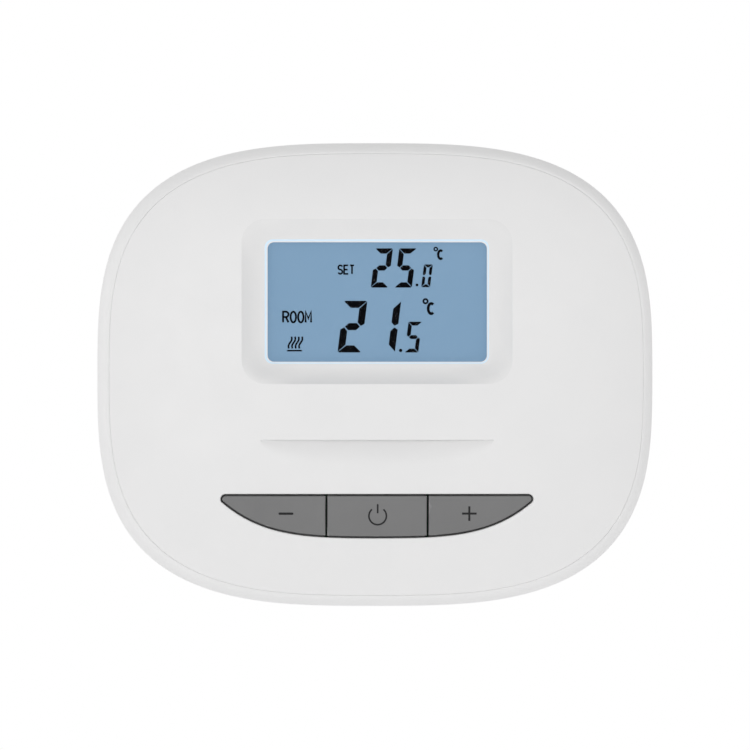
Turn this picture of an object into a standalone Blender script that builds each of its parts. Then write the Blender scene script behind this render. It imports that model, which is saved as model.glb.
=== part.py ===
"""Battery powered wall thermostat: wall plate, two-part case, display, three keys and what they hold.

X is to the right, Z up, and the front faces -Y. The wall is the plane y = 0, and the origin is the
middle of the wall plate's back face. All values are in metres, or in radians where a name ends in ANGLE.
A depth is how far a face stands out from the wall, so it lies at y = -depth.
"""

import math

import bmesh
import bpy
from mathutils import Matrix, Vector

# Gap that pieces keep where they touch, and the clearance round a piece that drops into a pocket.
GAP = 0.0003
CLEARANCE = 0.0004

# Outline of the case: a superellipse.
CASE_WIDTH = 0.120
CASE_HEIGHT = 0.100
CASE_EXPONENT = 3.1
RING_POINTS = 64

# Depths of the case, from the wall outwards. Its whole depth follows from what it holds.
PLATE_THICKNESS = 0.0024
RIM_DEPTH = 0.0016
BACK_DEPTH = 0.0036
BACK_WALL = 0.0020
WIDEST_DEPTH = 0.0140
SEAM_DROP = 0.0047

# How far the outline steps in from the widest ring.
RIM_INSET = 0.0060
RIM_WIDTH = 0.0020
SEAM_INSET = 0.00245
CASE_INNER_INSET = 0.0040
PLATE_GAP = 0.0010

# Front cover.
DOME_DROP = 0.0045
DOME_POWER = 4
COVER_WALL = 0.0020
COVER_EDGE = 0.0003
LEDGE_HEIGHT = 0.0016
SKIRT_LENGTH = 0.0032
SKIRT_WALL = 0.0015

# Display window, the dish round it, and the shallow scoop above the keys.
WINDOW_WIDTH = 0.0474
WINDOW_HEIGHT = 0.0259
WINDOW_FROM_TOP = 0.0343
WINDOW_RADIUS = 0.0014
WINDOW_LIP = 0.0006
DISH_MARGIN_X = 0.00545
DISH_MARGIN_Z = 0.0048
DISH_RADIUS = 0.0052
DISH_DEPTH = 0.0015
DISH_STEPS = 4
SCOOP_ABOVE_KEYS = 0.0118
SCOOP_HALF = 0.0251
SCOOP_DEPTH = 0.0009
SCOOP_BELOW = 0.0067
SCOOP_ABOVE = 0.0060
SCOOP_STEPS = 12

# Display stack, from the front.
LENS_THICKNESS = 0.0008
LENS_OVERLAP = 0.0015
POLARISER_THICKNESS = 0.0002
GLASS_THICKNESS = 0.0007
GLASS_MARGIN_X = 0.0013
GLASS_LEDGE = 0.00275
GUIDE_THICKNESS = 0.0020
REFLECTOR_THICKNESS = 0.0002
FRAME_WALL = 0.0022
STRIP_WIDTH = 0.0019
STRIP_END = 0.0007
LED_SIZE = 0.0026
LED_SPACING = 0.0120

# Circuit board and what is soldered to it.
BOARD_THICKNESS = 0.0016
BOARD_SIDE_MARGIN = 0.0210
BOARD_TOP_MARGIN = 0.0165
BOARD_FOOT_MARGIN = 0.0135
BOARD_RADIUS = 0.0040
POST_RADIUS = 0.00275
POST_FROM_SIDE = 0.0035
POST_FROM_TOP = 0.0040
POST_ABOVE_KEYS = 0.0064
RELAY_SIZE = (0.0190, 0.0098, 0.0155)
RELAY_X = 0.0250
RELAY_ABOVE_BAY = 0.0050
TERMINAL_SIZE = (0.0156, 0.0094, 0.0110)
TERMINAL_PITCH = 0.0050
TERMINAL_BORE = 0.0019
WIRE_BORE = 0.0014
CHIP_SIZE = (0.0100, 0.0014, 0.0100)
CHIP_X = -0.0210
CHIP_FROM_TOP = 0.0215
CRYSTAL_SIZE = (0.0100, 0.0035, 0.0045)
CRYSTAL_X = -0.0325
CAPACITOR_RADIUS = 0.0032
CAPACITOR_HEIGHT = 0.0090
CAPACITOR_X = -0.0118
THERMISTOR_RADIUS = 0.0013
THERMISTOR_FROM_CORNER = 0.0055
THERMISTOR_REACH = 0.0040
LEAD_RADIUS = 0.00025

# Keys: one row behind one opening, with a straight top edge and a bowed lower edge.
KEY_ROW_HALF = 0.0338
KEY_ROW_FROM_FOOT = 0.0241
KEY_ROW_HEIGHT = 0.0095
KEY_BOW = (0.12, 0.72)
KEY_TIP_RADIUS = 0.0011
KEY_TIP_ANGLE = math.radians(50)
KEY_DIVIDER_X = 0.0109
KEY_GAP = 0.0004
KEY_PROUD = 0.0002
KEY_TRAVEL = 0.0005
KEY_CENTRE_X = 0.0199
KEY_CENTRE_DROP = 0.0044
KEY_STEPS = 16
KEY_PAD_MARGIN = 0.0020
KEY_FLANGE = 0.0008
KEY_STEM = 0.0003
KEY_STEM_RADIUS = 0.0020
SWITCH_WIDTH = 0.0060
SWITCH_HEIGHT = 0.0027
PLUNGER_RADIUS = 0.0016
PLUNGER_PROUD = 0.0008
PLUNGER_SEAT = 0.0012

# Two AAA cells side by side, lying along X.
CELL_LENGTH = 0.0445
CELL_RADIUS = 0.00525
CELL_SPACING = 0.0005
CELL_NUB_RADIUS = 0.0019
CELL_NUB = 0.0008
CELL_CLEARANCE = 0.00035
CELL_BEHIND_BACK = 0.00065
BAY_WALL = 0.0012
BAY_ABOVE_LATCH = 0.0013
SPRING_ROOM = 0.0068
SPRING_RADIUS = 0.0030
SPRING_TURNS = 4
SPRING_WIRE = 0.00035
SPRING_POINTS_PER_TURN = 9
CONTACT_THICKNESS = 0.0004
CONTACT_WIDTH = 0.0086
TAB_WIDTH = 0.0024

# Screws.
CASE_SCREW_FROM_SIDE = 0.0160
CASE_SCREW_FROM_TOP = 0.0300
CASE_SCREW_RADIUS = 0.00135
CASE_SCREW_LENGTH = 0.0120
CASE_BOSS_RADIUS = 0.0040
CASE_BOSS_DEPTH = 0.0120
COVER_BOSS_RADIUS = 0.0033
SCREW_HEAD_RADIUS = 0.0026
SCREW_HEAD = 0.0019
SCREW_SEAT_DEPTH = 0.0080
BOARD_SCREW_RADIUS = 0.0011
BOARD_SCREW_LENGTH = 0.0055
BOARD_SCREW_HEAD_RADIUS = 0.0021
BOARD_SCREW_HEAD = 0.0014
TERMINAL_SCREW_RADIUS = 0.0016
TERMINAL_SCREW_LENGTH = 0.0050

# Wall plate.
SCREW_SPACING = 0.0603
SLOT_WIDTH = 0.0040
SLOT_LENGTH = 0.0090
ENTRY_WIDTH = 0.0240
ENTRY_HEIGHT = 0.0140
ENTRY_PLACE = (0.0, 0.0120)
CASE_ENTRY_MARGIN = 0.0012
HOOK_X = 0.0160
HOOK_WIDTH = 0.0080
HOOK_FROM_TOP = 0.0027
HOOK_THICKNESS = 0.0015
HOOK_LIP = 0.0023
HOOK_SIDE_CLEARANCE = 0.0006
LATCH_WIDTH = 0.0100
LATCH_FROM_FOOT = 0.0021
LATCH_THICKNESS = 0.0014
LATCH_BARB = 0.0003
LATCH_CLEARANCE = 0.0006

# Vent slots through the top and the bottom of the case.
VENT_COUNT = 9
VENT_PITCH = 0.0060
VENT_WIDTH = 0.0018
VENT_NEAR_WALL = 0.0070
VENT_FAR_FROM_WALL = 0.0120

# Room that a cutter reaches past the face it opens.
PAST = 0.0020
ROUND_SIDES = 24

# Values that follow from the ones above: first the outline.
HALF_WIDTH = CASE_WIDTH / 2
HALF_HEIGHT = CASE_HEIGHT / 2
RECESS_INSET = RIM_INSET + RIM_WIDTH
PLATE_INSET = RECESS_INSET + PLATE_GAP
PLATE_HALF_HEIGHT = HALF_HEIGHT - PLATE_INSET
COVER_INSET = SEAM_INSET + GAP
SKIRT_INSET = CASE_INNER_INSET + GAP

# Then the depths, from the wall out: cells, circuit board, display, and last the face over them.
BACK_FRONT = BACK_DEPTH + BACK_WALL
HINGE_DEPTH = (PLATE_THICKNESS + BACK_DEPTH) / 2
CELL_DEPTH = BACK_DEPTH + CELL_BEHIND_BACK + CELL_RADIUS
BAY_FLOOR = CELL_DEPTH + CELL_RADIUS + CELL_CLEARANCE
BAY_FRONT = BAY_FLOOR + BAY_WALL
TALLEST_PART = max(RELAY_SIZE[1], TERMINAL_SIZE[1], CAPACITOR_HEIGHT)
SOLDERED = max(BAY_FRONT, BACK_FRONT + TALLEST_PART + CLEARANCE)
BOARD_BACK = SOLDERED + GAP
BOARD_FRONT = BOARD_BACK + BOARD_THICKNESS
REFLECTOR_BACK = BOARD_FRONT + GAP
GUIDE_BACK = REFLECTOR_BACK + REFLECTOR_THICKNESS + GAP
GUIDE_FRONT = GUIDE_BACK + GUIDE_THICKNESS
REAR_POLARISER_BACK = GUIDE_FRONT + GAP
REAR_GLASS_BACK = REAR_POLARISER_BACK + POLARISER_THICKNESS + GAP
FRONT_GLASS_BACK = REAR_GLASS_BACK + GLASS_THICKNESS + GAP
FRONT_GLASS_FRONT = FRONT_GLASS_BACK + GLASS_THICKNESS
FRONT_POLARISER_BACK = FRONT_GLASS_FRONT + GAP
LENS_BACK = FRONT_POLARISER_BACK + POLARISER_THICKNESS + GAP
LENS_FRONT = LENS_BACK + LENS_THICKNESS
DISH_FLOOR = LENS_FRONT + GAP + WINDOW_LIP
APEX_DEPTH = DISH_FLOOR + DISH_DEPTH
SEAM_DEPTH = APEX_DEPTH - SEAM_DROP
LEDGE_DEPTH = SEAM_DEPTH - LEDGE_HEIGHT
SKIRT_BACK = LEDGE_DEPTH - SKIRT_LENGTH
SWITCH_BACK = BOARD_FRONT + GAP
SWITCH_FRONT = SWITCH_BACK + SWITCH_HEIGHT
PLUNGER_FRONT = SWITCH_FRONT + PLUNGER_PROUD
FLANGE_BACK = PLUNGER_FRONT + GAP + KEY_STEM
FLANGE_FRONT = FLANGE_BACK + KEY_FLANGE
KEY_WALL_BACK = FLANGE_FRONT + GAP

# Then the places on the face and behind it, as X and Z.
WINDOW_Z = HALF_HEIGHT - WINDOW_FROM_TOP
DISH_WIDTH = WINDOW_WIDTH + 2 * DISH_MARGIN_X
DISH_HEIGHT = WINDOW_HEIGHT + 2 * DISH_MARGIN_Z
GLASS_WIDTH = WINDOW_WIDTH + 2 * GLASS_MARGIN_X
GLASS_HEIGHT = WINDOW_HEIGHT + 2 * GLASS_LEDGE
REAR_GLASS_HEIGHT = GLASS_HEIGHT - 2 * GLASS_LEDGE
GUIDE_HEIGHT = REAR_GLASS_HEIGHT - GAP
STRIP_LENGTH = WINDOW_WIDTH - 2 * STRIP_END
KEY_ROW_TOP = KEY_ROW_FROM_FOOT - HALF_HEIGHT
KEY_Z = KEY_ROW_TOP - KEY_CENTRE_DROP
KEY_CENTRES = (("minus", -KEY_CENTRE_X), ("power", 0.0), ("plus", KEY_CENTRE_X))
SCOOP_Z = KEY_ROW_TOP + SCOOP_ABOVE_KEYS
HOOK_TOP = PLATE_HALF_HEIGHT - HOOK_FROM_TOP
LATCH_Z = LATCH_FROM_FOOT - PLATE_HALF_HEIGHT
CELL_PITCH = 2 * CELL_RADIUS + CELL_SPACING
CELL_HALF_SPAN = (CELL_LENGTH + SPRING_ROOM) / 2 + GAP
BAY_HALF_X = CELL_HALF_SPAN + 2 * GAP + CONTACT_THICKNESS
BAY_HALF_Z = CELL_PITCH / 2 + CELL_RADIUS + CELL_CLEARANCE
BAY_FOOT = LATCH_Z + LATCH_THICKNESS / 2 + LATCH_CLEARANCE + BAY_ABOVE_LATCH
BAY_Z = BAY_FOOT + BAY_WALL + BAY_HALF_Z
BAY_TOP = BAY_Z + BAY_HALF_Z + BAY_WALL
BOARD_WIDTH = CASE_WIDTH - 2 * BOARD_SIDE_MARGIN
BOARD_TOP = HALF_HEIGHT - BOARD_TOP_MARGIN
BOARD_BOTTOM = BOARD_FOOT_MARGIN - HALF_HEIGHT
POST_X = BOARD_WIDTH / 2 - POST_FROM_SIDE
POST_PLACES = tuple(
    (side * POST_X, z)
    for z in (BOARD_TOP - POST_FROM_TOP, KEY_ROW_TOP + POST_ABOVE_KEYS)
    for side in (-1, 1)
)
CASE_SCREW_PLACES = tuple(
    (across * (HALF_WIDTH - CASE_SCREW_FROM_SIDE), up * (HALF_HEIGHT - CASE_SCREW_FROM_TOP))
    for up in (1, -1)
    for across in (-1, 1)
)
CHIP_Z = BOARD_TOP - CHIP_FROM_TOP
RELAY_PLACE = (RELAY_X, BAY_TOP + RELAY_ABOVE_BAY + RELAY_SIZE[2] / 2)
THERMISTOR_PLACE = (
    BOARD_WIDTH / 2 - THERMISTOR_FROM_CORNER,
    BOARD_BOTTOM + THERMISTOR_FROM_CORNER,
)

ALONG_Y = Matrix(((1, 0, 0, 0), (0, 0, -1, 0), (0, 1, 0, 0), (0, 0, 0, 1)))
ALONG_X = Matrix(((0, 0, 1, 0), (1, 0, 0, 0), (0, 1, 0, 0), (0, 0, 0, 1)))


# Scene and materials.


def clear_scene():
    for thing in list(bpy.data.objects):
        bpy.data.objects.remove(thing, do_unlink=True)


def new_collection(name):
    collection = bpy.data.collections.new(name)
    bpy.context.scene.collection.children.link(collection)
    return collection


def material(name, colour, roughness, metallic=0.0):
    made = bpy.data.materials.new(name)
    made.use_nodes = True
    made.diffuse_color = (*colour, 1.0)
    shader = made.node_tree.nodes["Principled BSDF"]
    shader.inputs["Base Color"].default_value = (*colour, 1.0)
    shader.inputs["Roughness"].default_value = roughness
    shader.inputs["Metallic"].default_value = metallic
    return made


clear_scene()
PARTS = new_collection("wall_thermostat")
CUTTERS = new_collection("cutters")

WHITE_SHELL = ((0.86, 0.87, 0.87), 0.45, 0.0)
WHITE_MOULDING = ((0.80, 0.81, 0.80), 0.55, 0.0)
GREY_KEY = ((0.20, 0.20, 0.20), 0.45, 0.0)
CLEAR = ((0.85, 0.90, 0.95), 0.05, 0.0)
DISPLAY_BLUE = ((0.21, 0.35, 0.51), 0.30, 0.0)
MILKY = ((0.80, 0.88, 0.95), 0.35, 0.0)
FOIL = ((0.90, 0.90, 0.90), 0.25, 0.0)
BOARD_GREEN = ((0.03, 0.20, 0.09), 0.45, 0.0)
BLACK_EPOXY = ((0.03, 0.03, 0.03), 0.50, 0.0)
DARK_RUBBER = ((0.05, 0.05, 0.05), 0.85, 0.0)
RELAY_BLUE = ((0.05, 0.16, 0.45), 0.45, 0.0)
TERMINAL_GREEN = ((0.05, 0.35, 0.15), 0.45, 0.0)
STEEL = ((0.62, 0.62, 0.62), 0.35, 1.0)
NICKEL = ((0.72, 0.70, 0.66), 0.30, 1.0)
SLEEVE = ((0.10, 0.11, 0.12), 0.35, 0.0)
CELL_WRAP = ((0.12, 0.35, 0.20), 0.35, 0.0)


# Shapes.


def add_object(name, mesh, collection):
    made = bpy.data.objects.new(name, mesh)
    collection.objects.link(made)
    if collection is CUTTERS:
        made.hide_render = True
        made.display_type = "WIRE"
    return made


def finish_piece(piece, finish, origin=None):
    """Gives a piece its material and smooth round faces, and moves its origin without moving its shape."""
    piece.data.materials.clear()
    piece.data.materials.append(material(piece.name, *finish))
    if piece.type == "MESH":
        piece.data.shade_smooth()
        piece.data.set_sharp_from_angle(angle=math.radians(35))
    if origin is not None:
        piece.data.transform(Matrix.Translation(-Vector(origin)) @ piece.matrix_world)
        piece.matrix_world = Matrix.Translation(origin)
    return piece


def mesh_object(name, build, collection=PARTS):
    """Makes an object from a function that fills a bmesh."""
    shape = bmesh.new()
    build(shape)
    bmesh.ops.recalc_face_normals(shape, faces=shape.faces)
    mesh = bpy.data.meshes.new(name)
    shape.to_mesh(mesh)
    shape.free()
    return add_object(name, mesh, collection)


def add_box(shape, low, high):
    middle = (Vector(low) + Vector(high)) / 2
    size = Vector(high) - Vector(low)
    matrix = Matrix.Translation(middle) @ Matrix.Diagonal((*size, 1.0))
    bmesh.ops.create_cube(shape, size=1.0, matrix=matrix)


def add_peg(shape, place, radius, near, far, sides=ROUND_SIDES):
    """A cylinder along Y between two depths, at an (x, z) place."""
    centre = Vector((place[0], -(near + far) / 2, place[1]))
    bmesh.ops.create_cone(
        shape,
        cap_ends=True,
        segments=sides,
        radius1=radius,
        radius2=radius,
        depth=abs(far - near),
        matrix=Matrix.Translation(centre) @ ALONG_Y,
    )


def add_loft(shape, sections):
    """A closed solid through sections of equal point counts, with a flat face on the first and the last."""
    rings = [[shape.verts.new(point) for point in section] for section in sections]
    count = len(rings[0])
    for near, far in zip(rings, rings[1:]):
        for i in range(count):
            shape.faces.new((near[i], near[(i + 1) % count], far[(i + 1) % count], far[i]))
    shape.faces.new(rings[0])
    shape.faces.new(rings[-1])


def box_object(name, low, high, collection=PARTS):
    return mesh_object(name, lambda shape: add_box(shape, low, high), collection)


def peg_object(name, place, radius, near, far, collection=PARTS):
    return mesh_object(name, lambda shape: add_peg(shape, place, radius, near, far), collection)


def slab_bounds(width, height, near, far, place=(0.0, WINDOW_Z)):
    """Corners of a slab that is width by height about an (x, z) place, between two depths."""
    low = (place[0] - width / 2, -max(near, far), place[1] - height / 2)
    high = (place[0] + width / 2, -min(near, far), place[1] + height / 2)
    return low, high


def outline_object(name, outlines, near, far, axis=ALONG_Y, collection=PARTS):
    """Extrudes closed outlines, of which the later ones are holes, between two distances along the axis."""
    curve = bpy.data.curves.new(name, "CURVE")
    curve.dimensions = "2D"
    curve.fill_mode = "BOTH"
    curve.extrude = abs(far - near) / 2
    for outline in outlines:
        spline = curve.splines.new("POLY")
        spline.points.add(len(outline) - 1)
        spline.use_cyclic_u = True
        for point, place in zip(spline.points, outline):
            point.co = (*place, 0.0, 1.0)
    guide = add_object(name + "_outline", curve, collection)
    guide.matrix_world = axis @ Matrix.Translation((0.0, 0.0, (near + far) / 2))
    bpy.context.view_layer.update()
    graph = bpy.context.evaluated_depsgraph_get()
    mesh = bpy.data.meshes.new_from_object(guide.evaluated_get(graph))
    mesh.name = name
    shape = bmesh.new()
    shape.from_mesh(mesh)
    bmesh.ops.remove_doubles(shape, verts=shape.verts, dist=1e-6)
    bmesh.ops.recalc_face_normals(shape, faces=shape.faces)
    shape.to_mesh(mesh)
    shape.free()
    made = add_object(name, mesh, collection)
    made.matrix_world = guide.matrix_world
    bpy.data.objects.remove(guide)
    return made


def turned_object(name, profile, location, rotation, steps=ROUND_SIDES):
    """Turns a profile of (radius, height) points, listed from the top down, about the object's own Z."""
    mesh = bpy.data.meshes.new(name)
    points = [(radius, 0.0, height) for radius, height in profile]
    mesh.from_pydata(points, [(i, i + 1) for i in range(len(points) - 1)], [])
    made = add_object(name, mesh, PARTS)
    made.location = location
    made.rotation_euler = rotation
    screw = made.modifiers.new("turn", "SCREW")
    screw.steps = steps
    screw.render_steps = steps
    screw.use_merge_vertices = True
    screw.merge_threshold = 0.00001
    screw.use_smooth_shade = True
    return made


def combine(piece, operation, *others):
    for other in others:
        step = piece.modifiers.new(other.name, "BOOLEAN")
        step.operation = operation
        step.solver = "EXACT"
        step.object = other


def soften(piece, width, segments=1):
    bevel = piece.modifiers.new("soft_edges", "BEVEL")
    bevel.width = width
    bevel.segments = segments
    bevel.limit_method = "ANGLE"


# Outlines.


def ring(half_x, half_z, depth, exponent=CASE_EXPONENT):
    """Points of a superellipse at one depth."""
    points = []
    for i in range(RING_POINTS):
        angle = 2 * math.pi * i / RING_POINTS
        across = math.cos(angle)
        up = math.sin(angle)
        size = (abs(across / half_x) ** exponent + abs(up / half_z) ** exponent) ** (-1 / exponent)
        points.append((size * across, -depth, size * up))
    return points


def case_ring(inset, depth):
    return ring(HALF_WIDTH - inset, HALF_HEIGHT - inset, depth)


def rounded_rectangle(width, height, radius, place=(0.0, 0.0), corner_steps=5):
    """Closed outline of a rectangle with round corners, as (x, z) points."""
    points = []
    for quarter in range(4):
        turn = quarter * math.pi / 2
        side_x = 1 if quarter in (0, 3) else -1
        side_z = 1 if quarter in (0, 1) else -1
        centre_x = place[0] + side_x * (width / 2 - radius)
        centre_z = place[1] + side_z * (height / 2 - radius)
        for i in range(corner_steps + 1):
            angle = turn + math.pi / 2 * i / corner_steps
            points.append((centre_x + radius * math.cos(angle), centre_z + radius * math.sin(angle)))
    return points


def dome_depth(share):
    """Depth of the cover's face at a share of the way from its middle to its edge."""
    return APEX_DEPTH - DOME_DROP * share**DOME_POWER


def face_depth(x, z):
    """Depth of the cover's face at (x, z)."""
    across = abs(x) / (HALF_WIDTH - COVER_INSET)
    up = abs(z) / (HALF_HEIGHT - COVER_INSET)
    return dome_depth((across**CASE_EXPONENT + up**CASE_EXPONENT) ** (1 / CASE_EXPONENT))


def dome_sections(back, lift):
    """Sections of a solid whose front is the cover's face moved out by lift."""
    half_x = HALF_WIDTH - COVER_INSET
    half_z = HALF_HEIGHT - COVER_INSET
    shares = (1.0, 0.94, 0.87, 0.79, 0.7, 0.6, 0.48, 0.3)
    sections = [ring(half_x, half_z, back)]
    sections += [ring(half_x * share, half_z * share, dome_depth(share) + lift) for share in shares]
    return sections


def key_bottom(x, grow):
    """Height of the key row's bowed lower edge at x, grown outwards."""
    share = abs(x) / KEY_ROW_HALF
    rise = KEY_ROW_HEIGHT * (KEY_BOW[0] * share**2 + KEY_BOW[1] * share**4)
    slope = KEY_ROW_HEIGHT * (2 * KEY_BOW[0] * share + 4 * KEY_BOW[1] * share**3) / KEY_ROW_HALF
    return KEY_ROW_TOP - KEY_ROW_HEIGHT + rise - grow * math.hypot(1.0, slope)


def key_outline(low_x, high_x, grow):
    """Outline of the key row between two X values, grown outwards at its own edges."""
    reach = KEY_TIP_RADIUS + grow
    tip_x = KEY_ROW_HALF - KEY_TIP_RADIUS
    tip_z = KEY_ROW_TOP - KEY_TIP_RADIUS
    end_x = tip_x + reach * math.cos(KEY_TIP_ANGLE)
    first = max(low_x, -end_x)
    last = min(high_x, end_x)
    points = []
    for i in range(KEY_STEPS + 1):
        x = first + (last - first) * i / KEY_STEPS
        points.append((x, key_bottom(x, grow)))
    turns = [math.radians(angle) for angle in (-25, 0, 30, 60, 90)]
    if high_x > end_x:
        points += [(tip_x + reach * math.cos(turn), tip_z + reach * math.sin(turn)) for turn in turns]
    else:
        points.append((high_x, KEY_ROW_TOP + grow))
    if low_x < -end_x:
        turns.reverse()
        points += [(-tip_x - reach * math.cos(turn), tip_z + reach * math.sin(turn)) for turn in turns]
    else:
        points.append((low_x, KEY_ROW_TOP + grow))
    return points


# Wall plate.


def hook_outline():
    """Side view (y, z) of a hook: a stem out of the plate, then a lip that turns up."""
    root = -PLATE_THICKNESS / 2
    lip_back = -(BACK_FRONT + CLEARANCE)
    lip_front = lip_back - HOOK_THICKNESS
    low = HOOK_TOP - HOOK_THICKNESS
    return [
        (root, low),
        (root, HOOK_TOP),
        (lip_back, HOOK_TOP),
        (lip_back, HOOK_TOP + HOOK_LIP),
        (lip_front, HOOK_TOP + HOOK_LIP),
        (lip_front, low),
    ]


def latch_outline():
    """Side view (y, z) of the bottom latch: a tongue with a small barb."""
    root = -PLATE_THICKNESS / 2
    top = LATCH_Z + LATCH_THICKNESS / 2
    low = LATCH_Z - LATCH_THICKNESS / 2
    barb_back = -(BACK_FRONT + CLEARANCE)
    tip = barb_back - LATCH_THICKNESS
    return [
        (root, top),
        (tip, top),
        (tip, low + LATCH_BARB),
        (barb_back, low - LATCH_BARB),
        (barb_back, low),
        (root, low),
    ]


def make_wall_plate():
    slot_x = SCREW_SPACING / 2
    plate_ring = case_ring(PLATE_INSET, 0.0)
    outlines = [
        [(x, z) for x, _, z in plate_ring],
        rounded_rectangle(ENTRY_WIDTH, ENTRY_HEIGHT, WINDOW_RADIUS, ENTRY_PLACE),
        rounded_rectangle(SLOT_WIDTH, SLOT_LENGTH, SLOT_WIDTH / 2 - GAP, (-slot_x, 0.0)),
        rounded_rectangle(SLOT_LENGTH, SLOT_WIDTH, SLOT_WIDTH / 2 - GAP, (slot_x, 0.0)),
    ]
    plate = outline_object("wall_plate", outlines, 0.0, PLATE_THICKNESS)
    for number, x in enumerate((-HOOK_X, HOOK_X), 1):
        low = x - HOOK_WIDTH / 2
        name = f"hook_{number}"
        hook = outline_object(name, [hook_outline()], low, low + HOOK_WIDTH, ALONG_X, CUTTERS)
        combine(plate, "UNION", hook)
    half = LATCH_WIDTH / 2
    latch = outline_object("latch", [latch_outline()], -half, half, ALONG_X, CUTTERS)
    combine(plate, "UNION", latch)
    return finish_piece(plate, WHITE_MOULDING)


# Case.


def case_sections():
    """The tub, from its back face round the rim, up its outside, over the lip and down its inside."""
    sections = [case_ring(RECESS_INSET, BACK_DEPTH), case_ring(RECESS_INSET, RIM_DEPTH)]
    rise = WIDEST_DEPTH - RIM_DEPTH
    for i in range(6):
        share = i / 6
        sections.append(case_ring(RIM_INSET * (1 - share) ** 2, RIM_DEPTH + rise * share))
    shoulder = SEAM_DEPTH - WIDEST_DEPTH
    for i in range(7):
        angle = math.pi / 2 * i / 6
        inset = SEAM_INSET * (1 - math.cos(angle))
        sections.append(case_ring(inset, WIDEST_DEPTH + shoulder * math.sin(angle)))
    inner_back = RECESS_INSET + PLATE_GAP / 2
    for inset, depth in (
        (SEAM_INSET, LEDGE_DEPTH),
        (CASE_INNER_INSET, LEDGE_DEPTH),
        (CASE_INNER_INSET, WIDEST_DEPTH),
        ((3 * CASE_INNER_INSET + inner_back) / 4, (WIDEST_DEPTH + BACK_FRONT) / 2),
        (inner_back, BACK_FRONT),
    ):
        sections.append(case_ring(inset, depth))
    return sections


def add_vents(shape):
    reach = HALF_HEIGHT + PAST
    start = HALF_HEIGHT - RIM_INSET - RIM_WIDTH - PLATE_GAP
    for i in range(VENT_COUNT):
        x = (i - (VENT_COUNT - 1) / 2) * VENT_PITCH
        for side in (-1, 1):
            ends = sorted((side * start, side * reach))
            low = (x - VENT_WIDTH / 2, -VENT_FAR_FROM_WALL, ends[0])
            high = (x + VENT_WIDTH / 2, -VENT_NEAR_WALL, ends[1])
            add_box(shape, low, high)


def add_back_cuts(shape):
    """Openings through the back wall: cells, cable, hooks and latch."""
    front = -(BACK_FRONT + PAST)
    back = -(BACK_DEPTH - PAST)
    low = (-BAY_HALF_X, -BAY_FLOOR, BAY_Z - BAY_HALF_Z)
    high = (BAY_HALF_X, back, BAY_Z + BAY_HALF_Z)
    add_box(shape, low, high)
    half_x = ENTRY_WIDTH / 2 + CASE_ENTRY_MARGIN
    half_z = ENTRY_HEIGHT / 2 + CASE_ENTRY_MARGIN
    entry_z = ENTRY_PLACE[1]
    add_box(shape, (-half_x, front, entry_z - half_z), (half_x, back, entry_z + half_z))
    half_hook = HOOK_WIDTH / 2 + HOOK_SIDE_CLEARANCE
    slot_top = HOOK_TOP + GAP
    slot_bottom = slot_top - HOOK_THICKNESS - HOOK_LIP - 2 * CLEARANCE
    for x in (-HOOK_X, HOOK_X):
        add_box(shape, (x - half_hook, front, slot_bottom), (x + half_hook, back, slot_top))
    half_latch = LATCH_WIDTH / 2 + HOOK_SIDE_CLEARANCE
    top = LATCH_Z + LATCH_THICKNESS / 2 + LATCH_CLEARANCE
    bottom = LATCH_Z - LATCH_THICKNESS / 2 - LATCH_CLEARANCE
    add_box(shape, (-half_latch, front, bottom), (half_latch, back, top))


def add_case_bores(shape):
    for place in CASE_SCREW_PLACES:
        bore = CASE_SCREW_RADIUS + CLEARANCE
        add_peg(shape, place, bore, SCREW_SEAT_DEPTH - GAP, CASE_BOSS_DEPTH + PAST)


def add_screw_seats(shape):
    for place in CASE_SCREW_PLACES:
        head = SCREW_HEAD_RADIUS + CLEARANCE
        add_peg(shape, place, head, BACK_DEPTH - PAST, SCREW_SEAT_DEPTH)


def add_tab_slots(shape):
    """Slots in the floor of the cell bay that the contact tabs pass through."""
    half = TAB_WIDTH / 2 + CLEARANCE
    inner = BAY_HALF_X - 2 * GAP - CONTACT_THICKNESS - GAP
    for z in (BAY_Z - CELL_PITCH / 2, BAY_Z + CELL_PITCH / 2):
        low = (-BAY_HALF_X, -(BAY_FRONT + PAST), z - half)
        high = (-inner, -(BAY_FLOOR - PAST), z + half)
        add_box(shape, low, high)


def make_rear_case():
    case = mesh_object("rear_case", lambda shape: add_loft(shape, case_sections()))
    middle_of_wall = (BACK_DEPTH + BACK_FRONT) / 2
    half_x = BAY_HALF_X + BAY_WALL
    low = (-half_x, -BAY_FRONT, BAY_Z - BAY_HALF_Z - BAY_WALL)
    high = (half_x, -middle_of_wall, BAY_Z + BAY_HALF_Z + BAY_WALL)
    combine(case, "UNION", box_object("bay_walls", low, high, CUTTERS))

    def add_bosses(shape):
        for place in CASE_SCREW_PLACES:
            add_peg(shape, place, CASE_BOSS_RADIUS, middle_of_wall, CASE_BOSS_DEPTH)

    combine(case, "UNION", mesh_object("case_bosses", add_bosses, CUTTERS))
    combine(
        case,
        "DIFFERENCE",
        mesh_object("vent_slots", add_vents, CUTTERS),
        mesh_object("back_openings", add_back_cuts, CUTTERS),
        mesh_object("tab_slots", add_tab_slots, CUTTERS),
        mesh_object("case_bores", add_case_bores, CUTTERS),
        mesh_object("screw_seats", add_screw_seats, CUTTERS),
    )
    return finish_piece(case, WHITE_SHELL)


# Front cover.


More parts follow.
